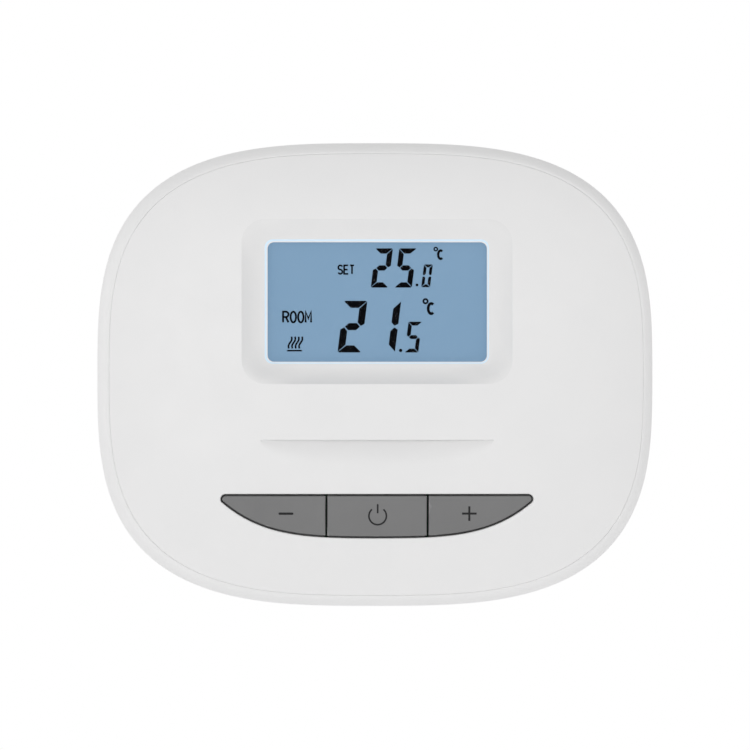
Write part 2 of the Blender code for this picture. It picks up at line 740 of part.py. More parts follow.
def cover_sections():
    """The face from its middle out, the edge, the skirt inside the case, and the inside of the face."""
    half_x = HALF_WIDTH - COVER_INSET
    half_z = HALF_HEIGHT - COVER_INSET
    sections = []
    for share in (0.3, 0.48, 0.6, 0.7, 0.79, 0.87, 0.94):
        sections.append(ring(half_x * share, half_z * share, dome_depth(share)))
    sections.append(case_ring(COVER_INSET + COVER_EDGE, dome_depth(1.0)))
    sections.append(case_ring(COVER_INSET, dome_depth(1.0) - COVER_EDGE))
    sections.append(case_ring(COVER_INSET, LEDGE_DEPTH + GAP))
    sections.append(case_ring(SKIRT_INSET, LEDGE_DEPTH + GAP))
    sections.append(case_ring(SKIRT_INSET, SKIRT_BACK))
    inside = SKIRT_INSET + SKIRT_WALL
    sections.append(case_ring(inside, SKIRT_BACK))
    sections.append(case_ring(inside, dome_depth(1 - inside / HALF_HEIGHT) - COVER_WALL))
    for share in (0.82, 0.72, 0.6, 0.48, 0.3):
        sections.append(ring(half_x * share, half_z * share, dome_depth(share) - COVER_WALL))
    return sections


def dish_sections():
    """A dished recess: steep at its outer edge, then flattening to the window."""
    sections = []
    place = (0.0, WINDOW_Z)
    outer = rounded_rectangle(DISH_WIDTH, DISH_HEIGHT, DISH_RADIUS, place)
    sections.append([(x, -(APEX_DEPTH + PAST), z) for x, z in outer])
    for i in range(DISH_STEPS + 1):
        share = i / DISH_STEPS
        width = DISH_WIDTH - 2 * DISH_MARGIN_X * share
        height = DISH_HEIGHT - 2 * DISH_MARGIN_Z * share
        radius = DISH_RADIUS + (WINDOW_RADIUS - DISH_RADIUS) * share
        depth = APEX_DEPTH - DISH_DEPTH * (1 - (1 - share) ** 2)
        outline = rounded_rectangle(width, height, radius, place)
        sections.append([(x, -depth, z) for x, z in outline])
    return sections


def scoop_sections():
    """A shallow crescent valley: a long slope down to a straight crease, and a shorter ramp back."""
    sections = []
    for i in range(1, SCOOP_STEPS):
        x = SCOOP_HALF * (2 * i / SCOOP_STEPS - 1)
        share = math.sqrt(1 - (x / SCOOP_HALF) ** 2)
        top = SCOOP_Z + SCOOP_ABOVE * share
        foot = SCOOP_Z - SCOOP_BELOW * share
        outside = APEX_DEPTH + PAST
        sections.append(
            [
                (x, -outside, top),
                (x, -face_depth(x, top), top),
                (x, SCOOP_DEPTH * share - face_depth(x, SCOOP_Z), SCOOP_Z),
                (x, -face_depth(x, foot), foot),
                (x, -outside, foot),
            ]
        )
    return sections


def make_cover_pads():
    """Solid pads and posts behind the face, each trimmed to end inside the face's wall."""
    far = APEX_DEPTH + PAST
    half_wall = COVER_WALL / 2
    inner_face = mesh_object("inner_face", lambda s: add_loft(s, dome_sections(0.0, -half_wall)), CUTTERS)
    margin = 2 * half_wall
    bounds = slab_bounds(DISH_WIDTH + margin, DISH_HEIGHT + margin, FRONT_GLASS_FRONT + GAP, far)
    window_pad = box_object("window_pad", *bounds, CUTTERS)
    row = key_outline(-CASE_WIDTH, CASE_WIDTH, KEY_PAD_MARGIN)
    key_pad = outline_object("key_pad", [row], KEY_WALL_BACK, far, ALONG_Y, CUTTERS)

    def add_posts(shape):
        for place in POST_PLACES:
            add_peg(shape, place, POST_RADIUS, BOARD_FRONT + GAP, far)

    def add_bosses(shape):
        for place in CASE_SCREW_PLACES:
            add_peg(shape, place, COVER_BOSS_RADIUS, CASE_BOSS_DEPTH + GAP, far)

    posts = mesh_object("board_posts", add_posts, CUTTERS)
    bosses = mesh_object("cover_bosses", add_bosses, CUTTERS)
    pads = (window_pad, key_pad, posts, bosses)
    for pad in pads:
        combine(pad, "INTERSECT", inner_face)
    return pads


def add_cover_bores(shape):
    for place in POST_PLACES:
        near = BOARD_FRONT + GAP - PAST
        add_peg(shape, place, BOARD_SCREW_RADIUS + CLEARANCE / 2, near, SOLDERED + BOARD_SCREW_LENGTH + GAP)
    for place in CASE_SCREW_PLACES:
        near = CASE_BOSS_DEPTH + GAP - PAST
        far = SCREW_SEAT_DEPTH + CASE_SCREW_LENGTH + GAP
        add_peg(shape, place, CASE_SCREW_RADIUS + CLEARANCE / 2, near, far)


def make_front_cover():
    cover = mesh_object("front_cover", lambda shape: add_loft(shape, cover_sections()))
    combine(cover, "UNION", *make_cover_pads())
    far = APEX_DEPTH + 2 * PAST
    window = rounded_rectangle(WINDOW_WIDTH, WINDOW_HEIGHT, WINDOW_RADIUS, (0.0, WINDOW_Z))
    pocket_width = WINDOW_WIDTH + 2 * (LENS_OVERLAP + CLEARANCE)
    pocket_height = WINDOW_HEIGHT + 2 * (LENS_OVERLAP + CLEARANCE)
    pocket_bounds = slab_bounds(pocket_width, pocket_height, LENS_BACK - PAST, LENS_FRONT + GAP)
    row = key_outline(-CASE_WIDTH, CASE_WIDTH, 0.0)
    combine(
        cover,
        "DIFFERENCE",
        mesh_object("dish", lambda shape: add_loft(shape, dish_sections()), CUTTERS),
        mesh_object("scoop", lambda shape: add_loft(shape, scoop_sections()), CUTTERS),
        outline_object("window_opening", [window], LENS_BACK, far, ALONG_Y, CUTTERS),
        box_object("lens_pocket", *pocket_bounds, CUTTERS),
        outline_object("key_opening", [row], KEY_WALL_BACK - PAST, far, ALONG_Y, CUTTERS),
        mesh_object("cover_bores", add_cover_bores, CUTTERS),
    )
    return finish_piece(cover, WHITE_SHELL)


# Display.


def make_display():
    pieces = []
    seen_width = WINDOW_WIDTH + LENS_OVERLAP
    seen_height = WINDOW_HEIGHT + LENS_OVERLAP
    lens_width = WINDOW_WIDTH + 2 * LENS_OVERLAP
    lens_height = WINDOW_HEIGHT + 2 * LENS_OVERLAP
    layers = (
        ("display_lens", lens_width, lens_height, LENS_BACK, LENS_THICKNESS, CLEAR),
        ("lcd_front_polariser", seen_width, seen_height, FRONT_POLARISER_BACK, POLARISER_THICKNESS, DISPLAY_BLUE),
        ("lcd_front_glass", GLASS_WIDTH, GLASS_HEIGHT, FRONT_GLASS_BACK, GLASS_THICKNESS, CLEAR),
        ("lcd_rear_glass", GLASS_WIDTH, REAR_GLASS_HEIGHT, REAR_GLASS_BACK, GLASS_THICKNESS, CLEAR),
        ("lcd_rear_polariser", GLASS_WIDTH, REAR_GLASS_HEIGHT, REAR_POLARISER_BACK, POLARISER_THICKNESS, MILKY),
        ("backlight_reflector", GLASS_WIDTH, GUIDE_HEIGHT, REFLECTOR_BACK, REFLECTOR_THICKNESS, FOIL),
    )
    for name, width, height, back, thickness, finish in layers:
        bounds = slab_bounds(width, height, back, back + thickness)
        pieces.append(finish_piece(box_object(name, *bounds), finish))
    led_room = LED_SIZE + 2 * GAP
    guide_place = (led_room / 2, WINDOW_Z)
    bounds = slab_bounds(GLASS_WIDTH - led_room, GUIDE_HEIGHT, GUIDE_BACK, GUIDE_FRONT, guide_place)
    pieces.append(finish_piece(box_object("backlight_guide", *bounds), MILKY))
    led_x = -GLASS_WIDTH / 2 + LED_SIZE / 2
    for number, side in enumerate((-1, 1), 1):
        place = (led_x, WINDOW_Z + side * LED_SPACING / 2)
        bounds = slab_bounds(LED_SIZE, LED_SIZE, GUIDE_BACK, GUIDE_FRONT, place)
        led = box_object(f"backlight_led_{number}", *bounds)
        soften(led, 0.0002)
        pieces.append(finish_piece(led, FOIL))
    ledge_middle = (GLASS_HEIGHT - GLASS_LEDGE) / 2
    for name, side in (("upper_contact_strip", 1), ("lower_contact_strip", -1)):
        place = (0.0, WINDOW_Z + side * ledge_middle)
        bounds = slab_bounds(STRIP_LENGTH, STRIP_WIDTH, BOARD_FRONT + GAP, FRONT_GLASS_BACK - GAP, place)
        pieces.append(finish_piece(box_object(name, *bounds), DARK_RUBBER))
    inner_width = GLASS_WIDTH + 2 * CLEARANCE
    inner_height = GLASS_HEIGHT + 2 * CLEARANCE
    place = (0.0, WINDOW_Z)
    outlines = [
        rounded_rectangle(inner_width + 2 * FRAME_WALL, inner_height + 2 * FRAME_WALL, WINDOW_RADIUS, place),
        rounded_rectangle(inner_width, inner_height, CLEARANCE / 2, place, 1),
    ]
    frame = outline_object("display_frame", outlines, BOARD_FRONT + GAP, FRONT_GLASS_FRONT)
    pieces.append(finish_piece(frame, WHITE_MOULDING))
    return pieces


# Circuit board.


def component_bounds(size, place):
    """Corners of a part soldered to the back of the board."""
    return slab_bounds(size[0], size[2], SOLDERED, SOLDERED - size[1], place)


def make_board():
    middle = (0.0, (BOARD_TOP + BOARD_BOTTOM) / 2)
    outlines = [rounded_rectangle(BOARD_WIDTH, BOARD_TOP - BOARD_BOTTOM, BOARD_RADIUS, middle)]
    hole = BOARD_SCREW_RADIUS + CLEARANCE
    for place in POST_PLACES:
        outlines.append(rounded_rectangle(2 * hole, 2 * hole, hole * 0.98, place, 3))
    board = outline_object("circuit_board", outlines, BOARD_BACK, BOARD_FRONT)
    return finish_piece(board, BOARD_GREEN)


def make_terminal_block():
    block = box_object("terminal_block", *component_bounds(TERMINAL_SIZE, ENTRY_PLACE))
    back = SOLDERED - TERMINAL_SIZE[1]
    entry_depth = back + TERMINAL_SCREW_LENGTH / 2

    def add_bores(shape):
        for way in (-1, 0, 1):
            place = (way * TERMINAL_PITCH, ENTRY_PLACE[1])
            add_peg(shape, place, TERMINAL_BORE, back - PAST, back + TERMINAL_SCREW_LENGTH + GAP, 16)

    def add_wire_entries(shape):
        for way in (-1, 0, 1):
            top = ENTRY_PLACE[1] + TERMINAL_SIZE[2] / 2
            low = (way * TERMINAL_PITCH - WIRE_BORE, -entry_depth - WIRE_BORE, ENTRY_PLACE[1])
            high = (way * TERMINAL_PITCH + WIRE_BORE, -entry_depth + WIRE_BORE, top + PAST)
            add_box(shape, low, high)

    combine(
        block,
        "DIFFERENCE",
        mesh_object("terminal_bores", add_bores, CUTTERS),
        mesh_object("wire_entries", add_wire_entries, CUTTERS),
    )
    return finish_piece(block, TERMINAL_GREEN)


def screw_profile(head_radius, head, shank_radius, length):
    """Pan head screw from the top of its head down to its tip."""
    return [
        (0.0, head),
        (head_radius * 0.7, head),
        (head_radius, head * 0.55),
        (head_radius, 0.0),
        (shank_radius, 0.0),
        (shank_radius, -length + shank_radius),
        (0.0, -length),
    ]


def make_screw(name, place, seat, head_radius, head, shank_radius, length):
    """A screw with its head towards the wall; the driver slot is cut across its head."""
    location = Vector((place[0], -seat, place[1]))
    profile = screw_profile(head_radius, head, shank_radius, length)
    screw = turned_object(name, profile, location, (-math.pi / 2, 0.0, 0.0), 16)
    half = head_radius * 0.14
    back = -seat + head
    low = (place[0] - head_radius - GAP, back - head * 0.45, place[1] - half)
    high = (place[0] + head_radius + GAP, back + PAST, place[1] + half)
    combine(screw, "DIFFERENCE", box_object(name + "_slot", low, high, CUTTERS))
    return finish_piece(screw, STEEL)


def make_board_parts():
    pieces = [make_board(), make_terminal_block()]
    boxes = (
        ("relay", RELAY_SIZE, RELAY_PLACE, 0.0006, RELAY_BLUE),
        ("microcontroller", CHIP_SIZE, (CHIP_X, CHIP_Z), 0.0002, BLACK_EPOXY),
        ("crystal", CRYSTAL_SIZE, (CRYSTAL_X, CHIP_Z), 0.0010, NICKEL),
    )
    for name, size, place, edge, finish in boxes:
        piece = box_object(name, *component_bounds(size, place))
        soften(piece, edge, 2)
        pieces.append(finish_piece(piece, finish))
    radius = CAPACITOR_RADIUS
    height = CAPACITOR_HEIGHT
    profile = [
        (0.0, height),
        (radius * 0.85, height),
        (radius, height * 0.95),
        (radius, height * 0.20),
        (radius * 0.90, height * 0.15),
        (radius, height * 0.10),
        (radius, 0.0),
        (0.0, 0.0),
    ]
    location = (CAPACITOR_X, -SOLDERED, CHIP_Z)
    capacitor = turned_object("capacitor", profile, location, (-math.pi / 2, 0.0, 0.0), 20)
    pieces.append(finish_piece(capacitor, SLEEVE))
    x, z = THERMISTOR_PLACE
    bead_depth = SOLDERED - THERMISTOR_REACH
    centre = Matrix.Translation((x, -bead_depth, z))

    def add_bead(shape):
        bmesh.ops.create_uvsphere(shape, u_segments=16, v_segments=8, radius=THERMISTOR_RADIUS, matrix=centre)

    def add_leads(shape):
        for side in (-1, 1):
            place = (x + side * THERMISTOR_RADIUS / 2, z)
            add_peg(shape, place, LEAD_RADIUS, bead_depth + LEAD_RADIUS, SOLDERED, 8)

    thermistor = mesh_object("thermistor", add_bead)
    combine(thermistor, "UNION", mesh_object("thermistor_leads", add_leads, CUTTERS))
    pieces.append(finish_piece(thermistor, BLACK_EPOXY))
    screw_seat = SOLDERED - TERMINAL_SIZE[1] + TERMINAL_SCREW_RADIUS
    for number, way in enumerate((-1, 0, 1), 1):
        place = (way * TERMINAL_PITCH, ENTRY_PLACE[1])
        length = TERMINAL_SCREW_LENGTH - TERMINAL_SCREW_RADIUS
        screw = make_screw(
            f"terminal_screw_{number}",
            place,
            screw_seat,
            TERMINAL_SCREW_RADIUS,
            TERMINAL_SCREW_RADIUS * 0.6,
            TERMINAL_SCREW_RADIUS * 0.8,
            length,
        )
        pieces.append(screw)
    for number, place in enumerate(POST_PLACES, 1):
        screw = make_screw(
            f"board_screw_{number}",
            place,
            SOLDERED,
            BOARD_SCREW_HEAD_RADIUS,
            BOARD_SCREW_HEAD,
            BOARD_SCREW_RADIUS,
            BOARD_SCREW_LENGTH,
        )
        pieces.append(screw)
    return pieces


# Keys.


def make_key(name, x, low_x, high_x):
    """A key cap with its retaining flange and its stem, the switch it presses, and the switch's plunger."""
    far = APEX_DEPTH + PAST
    face = key_outline(low_x, high_x, -KEY_GAP)
    flange = key_outline(low_x + GAP, high_x - GAP, 2 * KEY_GAP)
    origin = (x, -PLUNGER_FRONT, KEY_Z)
    cap = outline_object(f"{name}_button", [face], FLANGE_FRONT - KEY_FLANGE / 2, far)
    proud = mesh_object(f"{name}_face", lambda s: add_loft(s, dome_sections(0.0, KEY_PROUD)), CUTTERS)
    combine(cap, "INTERSECT", proud)
    rim = outline_object(f"{name}_flange", [flange], FLANGE_BACK, FLANGE_FRONT, ALONG_Y, CUTTERS)
    near = PLUNGER_FRONT + GAP
    stem = peg_object(f"{name}_stem", (x, KEY_Z), KEY_STEM_RADIUS, near, FLANGE_BACK + KEY_FLANGE / 2, CUTTERS)
    combine(cap, "UNION", rim, stem)
    finish_piece(cap, GREY_KEY, origin)
    bounds = slab_bounds(SWITCH_WIDTH, SWITCH_WIDTH, SWITCH_BACK, SWITCH_FRONT, (x, KEY_Z))
    switch = box_object(f"{name}_switch", *bounds)
    seat_floor = SWITCH_FRONT - PLUNGER_SEAT - KEY_TRAVEL - GAP
    bore_radius = PLUNGER_RADIUS + GAP
    bore = peg_object(f"{name}_bore", (x, KEY_Z), bore_radius, seat_floor, SWITCH_FRONT + PAST, CUTTERS)
    combine(switch, "DIFFERENCE", bore)
    finish_piece(switch, BLACK_EPOXY)
    back = SWITCH_FRONT - PLUNGER_SEAT
    plunger = peg_object(f"{name}_plunger", (x, KEY_Z), PLUNGER_RADIUS, back, PLUNGER_FRONT)
    soften(plunger, 0.0002)
    finish_piece(plunger, WHITE_MOULDING, origin)
    return [cap, plunger], switch


def make_keys():
    half_gap = KEY_GAP / 2
    spans = (
        (-CASE_WIDTH, -KEY_DIVIDER_X - half_gap),
        (-KEY_DIVIDER_X + half_gap, KEY_DIVIDER_X - half_gap),
        (KEY_DIVIDER_X + half_gap, CASE_WIDTH),
    )
    moving = {}
    fixed = []
    for (name, x), (low_x, high_x) in zip(KEY_CENTRES, spans):
        moving[name], switch = make_key(name, x, low_x, high_x)
        fixed.append(switch)
    return moving, fixed


# Cells and their contacts.


def cell_profile():
    """An AAA cell standing on its flat end, from the nub down."""
    return [
        (0.0, CELL_LENGTH),
        (CELL_NUB_RADIUS, CELL_LENGTH),
        (CELL_NUB_RADIUS, CELL_LENGTH - CELL_NUB),
        (CELL_RADIUS * 0.88, CELL_LENGTH - CELL_NUB),
        (CELL_RADIUS, CELL_LENGTH - CELL_NUB - GAP),
        (CELL_RADIUS, GAP),
        (CELL_RADIUS * 0.88, 0.0),
        (0.0, 0.0),
    ]


def contact_outline(z, with_tab):
    """Side view (y, z) of a contact plate, with a tab through the bay's floor to the board."""
    back = -(CELL_DEPTH - CONTACT_WIDTH / 2)
    front = -(CELL_DEPTH + CONTACT_WIDTH / 2)
    half = CONTACT_WIDTH / 2
    points = [(back, z - half), (back, z + half), (front, z + half)]
    if with_tab:
        tip = -(SOLDERED - GAP)
        points += [(front, z + TAB_WIDTH / 2), (tip, z + TAB_WIDTH / 2)]
        points += [(tip, z - TAB_WIDTH / 2), (front, z - TAB_WIDTH / 2)]
    points.append((front, z - half))
    return points


def make_spring(name, start_x, end_x, z):
    """A contact spring along X, narrower at the cell."""
    curve = bpy.data.curves.new(name, "CURVE")
    curve.dimensions = "3D"
    curve.bevel_depth = SPRING_WIRE
    curve.bevel_resolution = 2
    curve.use_fill_caps = True
    count = SPRING_TURNS * SPRING_POINTS_PER_TURN + 1
    spline = curve.splines.new("POLY")
    spline.points.add(count - 1)
    for i, point in enumerate(spline.points):
        share = i / (count - 1)
        angle = 2 * math.pi * SPRING_TURNS * share
        radius = SPRING_RADIUS * (1 - 0.35 * share)
        point.co = (0.0, radius * math.cos(angle), radius * math.sin(angle), 1.0)
        point.co.x = (end_x - start_x) * share
    spring = add_object(name, curve, PARTS)
    spring.location = (start_x, -CELL_DEPTH, z)
    return finish_piece(spring, NICKEL)


def make_cells():
    pieces = []
    upper = BAY_Z + CELL_PITCH / 2
    lower = BAY_Z - CELL_PITCH / 2
    plate_near = CELL_HALF_SPAN
    plate_far = plate_near + CONTACT_THICKNESS
    for number, (z, side) in enumerate(((upper, -1), (lower, 1)), 1):
        nub_x = side * (CELL_HALF_SPAN - GAP)
        flat_x = nub_x - side * CELL_LENGTH
        location = (flat_x, -CELL_DEPTH, z)
        turn = (0.0, side * math.pi / 2, 0.0)
        cell = turned_object(f"battery_{number}", cell_profile(), location, turn, 20)
        pieces.append(finish_piece(cell, CELL_WRAP))
        reach = GAP + SPRING_WIRE
        start = -side * (plate_near - reach)
        pieces.append(make_spring(f"battery_spring_{number}", start, flat_x - side * reach, z))
    for name, z in (("positive_contact", upper), ("negative_contact", lower)):
        outline = contact_outline(z, True)
        contact = outline_object(name, [outline], -plate_far, -plate_near, ALONG_X)
        pieces.append(finish_piece(contact, NICKEL))
    half_z = CELL_PITCH / 2 + CONTACT_WIDTH / 2
    low = (plate_near, -(CELL_DEPTH + CONTACT_WIDTH / 2), BAY_Z - half_z)
    high = (plate_far, -(CELL_DEPTH - CONTACT_WIDTH / 2), BAY_Z + half_z)
    pieces.append(finish_piece(box_object("bridge_contact", low, high), NICKEL))
    return pieces


def make_case_screws():
    seat = SCREW_SEAT_DEPTH - GAP
    return [
        make_screw(
            f"case_screw_{number}",
            place,
            seat,
            SCREW_HEAD_RADIUS,
            SCREW_HEAD,
            CASE_SCREW_RADIUS,
            CASE_SCREW_LENGTH,
        )
        for number, place in enumerate(CASE_SCREW_PLACES, 1)
    ]


# Assembly: the case tilts about the hooks, and each key slides in it.


def carry(name, location, pieces, parent=None):
    """An empty on a joint's axis that carries the pieces which move with it."""
    carrier = add_object(name, None, PARTS)
    carrier.location = location
    bpy.context.view_layer.update()
    for piece in pieces:
        piece.parent = carrier
        piece.matrix_parent_inverse = carrier.matrix_world.inverted()
    if parent is not None:
        carrier.parent = parent
        carrier.matrix_parent_inverse = parent.matrix_world.inverted()
    return carrier


make_wall_plate()
case_pieces = [make_rear_case(), make_front_cover()]
case_pieces += make_display()
case_pieces += make_board_parts()
case_pieces += make_cells()
case_pieces += make_case_screws()
key_pieces, switches = make_keys()
case_pieces += switches
tilt = carry("case_tilt_axis", (0.0, -HINGE_DEPTH, HOOK_TOP), case_pieces)
for key_name, key_x in KEY_CENTRES:
    carry(f"{key_name}_slide_axis", (key_x, -PLUNGER_FRONT, KEY_Z), key_pieces[key_name], tilt)
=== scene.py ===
"""Looks of a battery powered wall thermostat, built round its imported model.

Sizes are in millimetres and go through MM when a mesh is made, because the frame is in metres. X is to
the right and Z up. A depth is how far a face stands out from the wall, which is the plane y = 0.
"""

import math

import bmesh
import bpy
import numpy as np
from mathutils import Matrix, Vector
from mathutils.geometry import delaunay_2d_cdt


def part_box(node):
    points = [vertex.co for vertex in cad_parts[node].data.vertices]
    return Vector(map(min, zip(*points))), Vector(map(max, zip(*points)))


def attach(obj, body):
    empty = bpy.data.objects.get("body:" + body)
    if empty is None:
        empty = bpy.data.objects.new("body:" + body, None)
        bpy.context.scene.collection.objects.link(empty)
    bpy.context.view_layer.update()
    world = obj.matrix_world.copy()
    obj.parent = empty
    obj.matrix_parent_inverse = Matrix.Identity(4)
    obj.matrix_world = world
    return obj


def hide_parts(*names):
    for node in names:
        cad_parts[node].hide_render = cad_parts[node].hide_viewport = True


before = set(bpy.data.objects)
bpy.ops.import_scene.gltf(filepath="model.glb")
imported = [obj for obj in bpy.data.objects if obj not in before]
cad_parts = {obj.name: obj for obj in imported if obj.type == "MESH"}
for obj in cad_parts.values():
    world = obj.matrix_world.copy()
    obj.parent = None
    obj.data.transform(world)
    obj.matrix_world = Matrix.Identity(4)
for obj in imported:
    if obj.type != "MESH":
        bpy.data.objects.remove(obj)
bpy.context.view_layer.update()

MM = 0.001


def box(node):
    """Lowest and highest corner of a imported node, in millimetres."""
    low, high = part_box(node)
    return low / MM, high / MM


# Outline and depths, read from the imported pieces.
case_low, case_high = box("rear_case")
cover_low, cover_high = box("front_cover")
lens_low, lens_high = box("display_lens")
key_high = box("minus_button")[1]
board_low, board_high = box("circuit_board")
panel_low = box("lcd_front_polariser")[0]
cell_low, cell_high = box("battery_1")
HALF_X = case_high.x
HALF_Z = case_high.z
RIM_DEPTH = -case_high.y
SEAM_DEPTH = -case_low.y
APEX = -cover_low.y
SKIRT_BACK = -cover_high.y
OUTLINE_POWER = 3.1
RING_POINTS = 240

# Rear case.
BACK_DEPTH = 3.6
BACK_FRONT = 5.6
WIDEST = 14.0
RIM_INSET = 6.0
RECESS_INSET = 8.0
SEAM_INSET = 2.45
CASE_INNER = 4.0
LEDGE_DEPTH = 21.2
LIP_ROUND = 0.05

# Front cover.
SEAM_GAP = 0.02
COVER_INSET = SEAM_INSET + SEAM_GAP
EDGE_ROUND = 0.12
DOME_HALF_X = cover_high.x
DOME_HALF_Z = cover_high.z
DOME_EDGE = 23.0
SKIRT_INSET = 4.3
SKIRT_WALL = 1.5
COVER_WALL = 2.0
GRID = 1.35

# Window, dish and thumb notch.
LENS_OVERLAP = 1.5
WINDOW_HALF_X = lens_high.x - LENS_OVERLAP
WINDOW_HALF_Z = (lens_high.z - lens_low.z) / 2 - LENS_OVERLAP
WINDOW_Z = (lens_high.z + lens_low.z) / 2
WINDOW_RADIUS = 1.4
WINDOW_LIP = 0.25
LENS_BACK = -lens_high.y
LENS_FRONT = -lens_low.y
WINDOW_FLOOR = LENS_FRONT + WINDOW_LIP
WINDOW_CHAMFER = 0.42
WINDOW_TRIM = 0.1
CHAMFER_DEPTH = 0.26
DISH_HALF_X = WINDOW_HALF_X + 5.45
DISH_HALF_Z = WINDOW_HALF_Z + 4.8
DISH_RADIUS = 5.2
PAD_HALF_X = DISH_HALF_X + 1.0
PAD_HALF_Z = DISH_HALF_Z + 1.0
DISH_POWER = 2.2
NOTCH_HALF = 25.1
NOTCH_DEPTH = 1.85
NOTCH_POWER = 2.0
NOTCH_LENGTH = 6.7
NOTCH_STEP = 0.06

# Keys.
FLANGE_GROW = 0.8
KEY_LIFT = 0.2
KEY_TOP = key_high.z - FLANGE_GROW + KEY_LIFT
KEY_HALF = 33.65
KEY_HEIGHT = 9.5
KEY_BOW = (0.12, 0.72)
KEY_TIP = 1.1
KEY_TIP_TURN = math.radians(50)
KEY_DIVIDER = 10.9
KEY_GAP = 0.4
KEY_PROUD = 0.2
KEY_ROUND = 0.25
KEY_CENTRE_X = 19.9
KEY_CENTRE_Z = KEY_TOP - KEY_LIFT - 4.4
KEY_WALL_BACK = 23.7
FLANGE_BACK = 22.6
FLANGE_FRONT = 23.4
NOTCH_Z = KEY_TOP - KEY_LIFT + 11.8
PAST_ENDS = 99.0  # An X value beyond both ends of the key row.

# Openings in the back, and the wall plate that they fit.
ENTRY_Z = 12.0
HOOK_X = 16.0
SLOT_X = 30.15
PLATE_THICKNESS = 2.4
PLATE_INSET = 9.0
CELL_OFFSET = 5.5
VENT_WIDTH = 1.8
VENT_LENGTH = 5.0
VENT_COUNT = 9
VENT_PITCH = 6.0


# Meshes.


def recalculated(mesh):
    """The mesh with every face pointing outwards."""
    shape = bmesh.new()
    shape.from_mesh(mesh)
    bmesh.ops.recalc_face_normals(shape, faces=shape.faces)
    shape.to_mesh(mesh)
    shape.free()
    return mesh


def piece(name, points, faces, materials, marks=None, sharp=40):
    """An object from points in millimetres, with smooth faces and sharp edges where they turn sharply."""
    mesh = bpy.data.meshes.new(name)
    mesh.from_pydata([tuple(value * MM for value in point) for point in points], [], faces)
    recalculated(mesh)
    return placed(name, mesh, materials, marks, sharp)


def linked(name, data):
    """An object in the scene, from its data."""
    made = bpy.data.objects.new(name, data)
    bpy.context.scene.collection.objects.link(made)
    return made


def shaded(mesh, sharp):
    """Smooth faces, with sharp edges where they turn by more degrees than this."""
    mesh.shade_smooth()
    mesh.set_sharp_from_angle(angle=math.radians(sharp))


def placed(name, mesh, materials, marks=None, sharp=40):
    for finish in materials:
        mesh.materials.append(finish)
    if marks is not None:
        mesh.polygons.foreach_set("material_index", marks)
    shaded(mesh, sharp)
    return linked(name, mesh)


def from_shape(name, build, materials, sharp=40):
    """An object from a function that fills a bmesh in millimetres."""
    shape = bmesh.new()
    build(shape)
    bmesh.ops.recalc_face_normals(shape, faces=shape.faces)
    bmesh.ops.scale(shape, vec=(MM, MM, MM), verts=shape.verts)
    mesh = bpy.data.meshes.new(name)
    shape.to_mesh(mesh)
    shape.free()
    return placed(name, mesh, materials, None, sharp)


def baked(thing):
    """Puts an object's modifiers into its mesh."""
    bpy.context.view_layer.update()
    graph = bpy.context.evaluated_depsgraph_get()
    mesh = bpy.data.meshes.new_from_object(thing.evaluated_get(graph))
    thing.modifiers.clear()
    thing.data = mesh
    return thing


def combined(thing, operation, *others, sharp=40):
    for other in others:
        modifier = thing.modifiers.new(other.name, "BOOLEAN")
        modifier.operation = operation
        modifier.solver = "EXACT"
        modifier.object = other
    baked(thing)
    for other in others:
        bpy.data.objects.remove(other)
    shaded(thing.data, sharp)
    return thing


def rounded_edges(thing, width, segments=2, angle=40):
    modifier = thing.modifiers.new("edges", "BEVEL")
    modifier.width = width * MM
    modifier.segments = segments
    modifier.limit_method = "ANGLE"
    modifier.angle_limit = math.radians(angle)
    modifier.harden_normals = False
    baked(thing)
    shaded(thing.data, angle)
    return thing


def joined(name, things):
    """One object from several that share their materials' order."""
    materials = []
    shape = bmesh.new()
    for thing in things:
        for finish in thing.data.materials:
            if finish not in materials:
                materials.append(finish)
        places = [materials.index(finish) for finish in thing.data.materials]
        first = len(shape.faces)
        shape.from_mesh(thing.data)
        shape.faces.ensure_lookup_table()
        for face in shape.faces[first:]:
            face.material_index = places[face.material_index]
    mesh = bpy.data.meshes.new(name)
    shape.to_mesh(mesh)
    shape.free()
    for thing in things:
        bpy.data.objects.remove(thing)
    for finish in materials:
        mesh.materials.append(finish)
    return linked(name, mesh)


def add_box(shape, low, high):
    middle = (Vector(low) + Vector(high)) / 2
    size = Vector(high) - Vector(low)
    matrix = Matrix.Translation(middle) @ Matrix.Diagonal((*size, 1.0))
    bmesh.ops.create_cube(shape, size=1.0, matrix=matrix)


def add_turned(shape, place, profile, sides=48):
    """A solid of revolution about Y at an (x, z) place, from (radius, depth) points."""
    x, z = place
    turns = [2 * math.pi * i / sides for i in range(sides)]
    rings = []
    for radius, depth in profile:
        ring = [(x + radius * math.cos(turn), -depth, z + radius * math.sin(turn)) for turn in turns]
        if radius < 1e-6:
            ring = [(x, -depth, z)]
        rings.append([shape.verts.new(point) for point in ring])
    for near, far in zip(rings, rings[1:]):
        for i in range(sides):
            j = (i + 1) % sides
            corners = [near[i % len(near)], near[j % len(near)], far[j % len(far)], far[i % len(far)]]
            shape.faces.new(list(dict.fromkeys(corners)))


def add_rings(shape, rings, capped=True):
    """A solid through rings of points. Its ends are capped, or its last ring joins its first."""
    rings = [[shape.verts.new(point) for point in ring] for ring in rings]
    for one, other in zip(rings, rings[1:] if capped else [*rings[1:], rings[0]]):
        for i in range(len(one)):
            j = (i + 1) % len(one)
            shape.faces.new((one[i], one[j], other[j], other[i]))
    if capped:
        shape.faces.new(rings[0])
        shape.faces.new(rings[-1])


def add_prism(shape, outline, near, far):
    """A slab along Y between two depths, from an (x, z) outline."""
    add_rings(shape, [[(x, -depth, z) for x, z in outline] for depth in (near, far)])


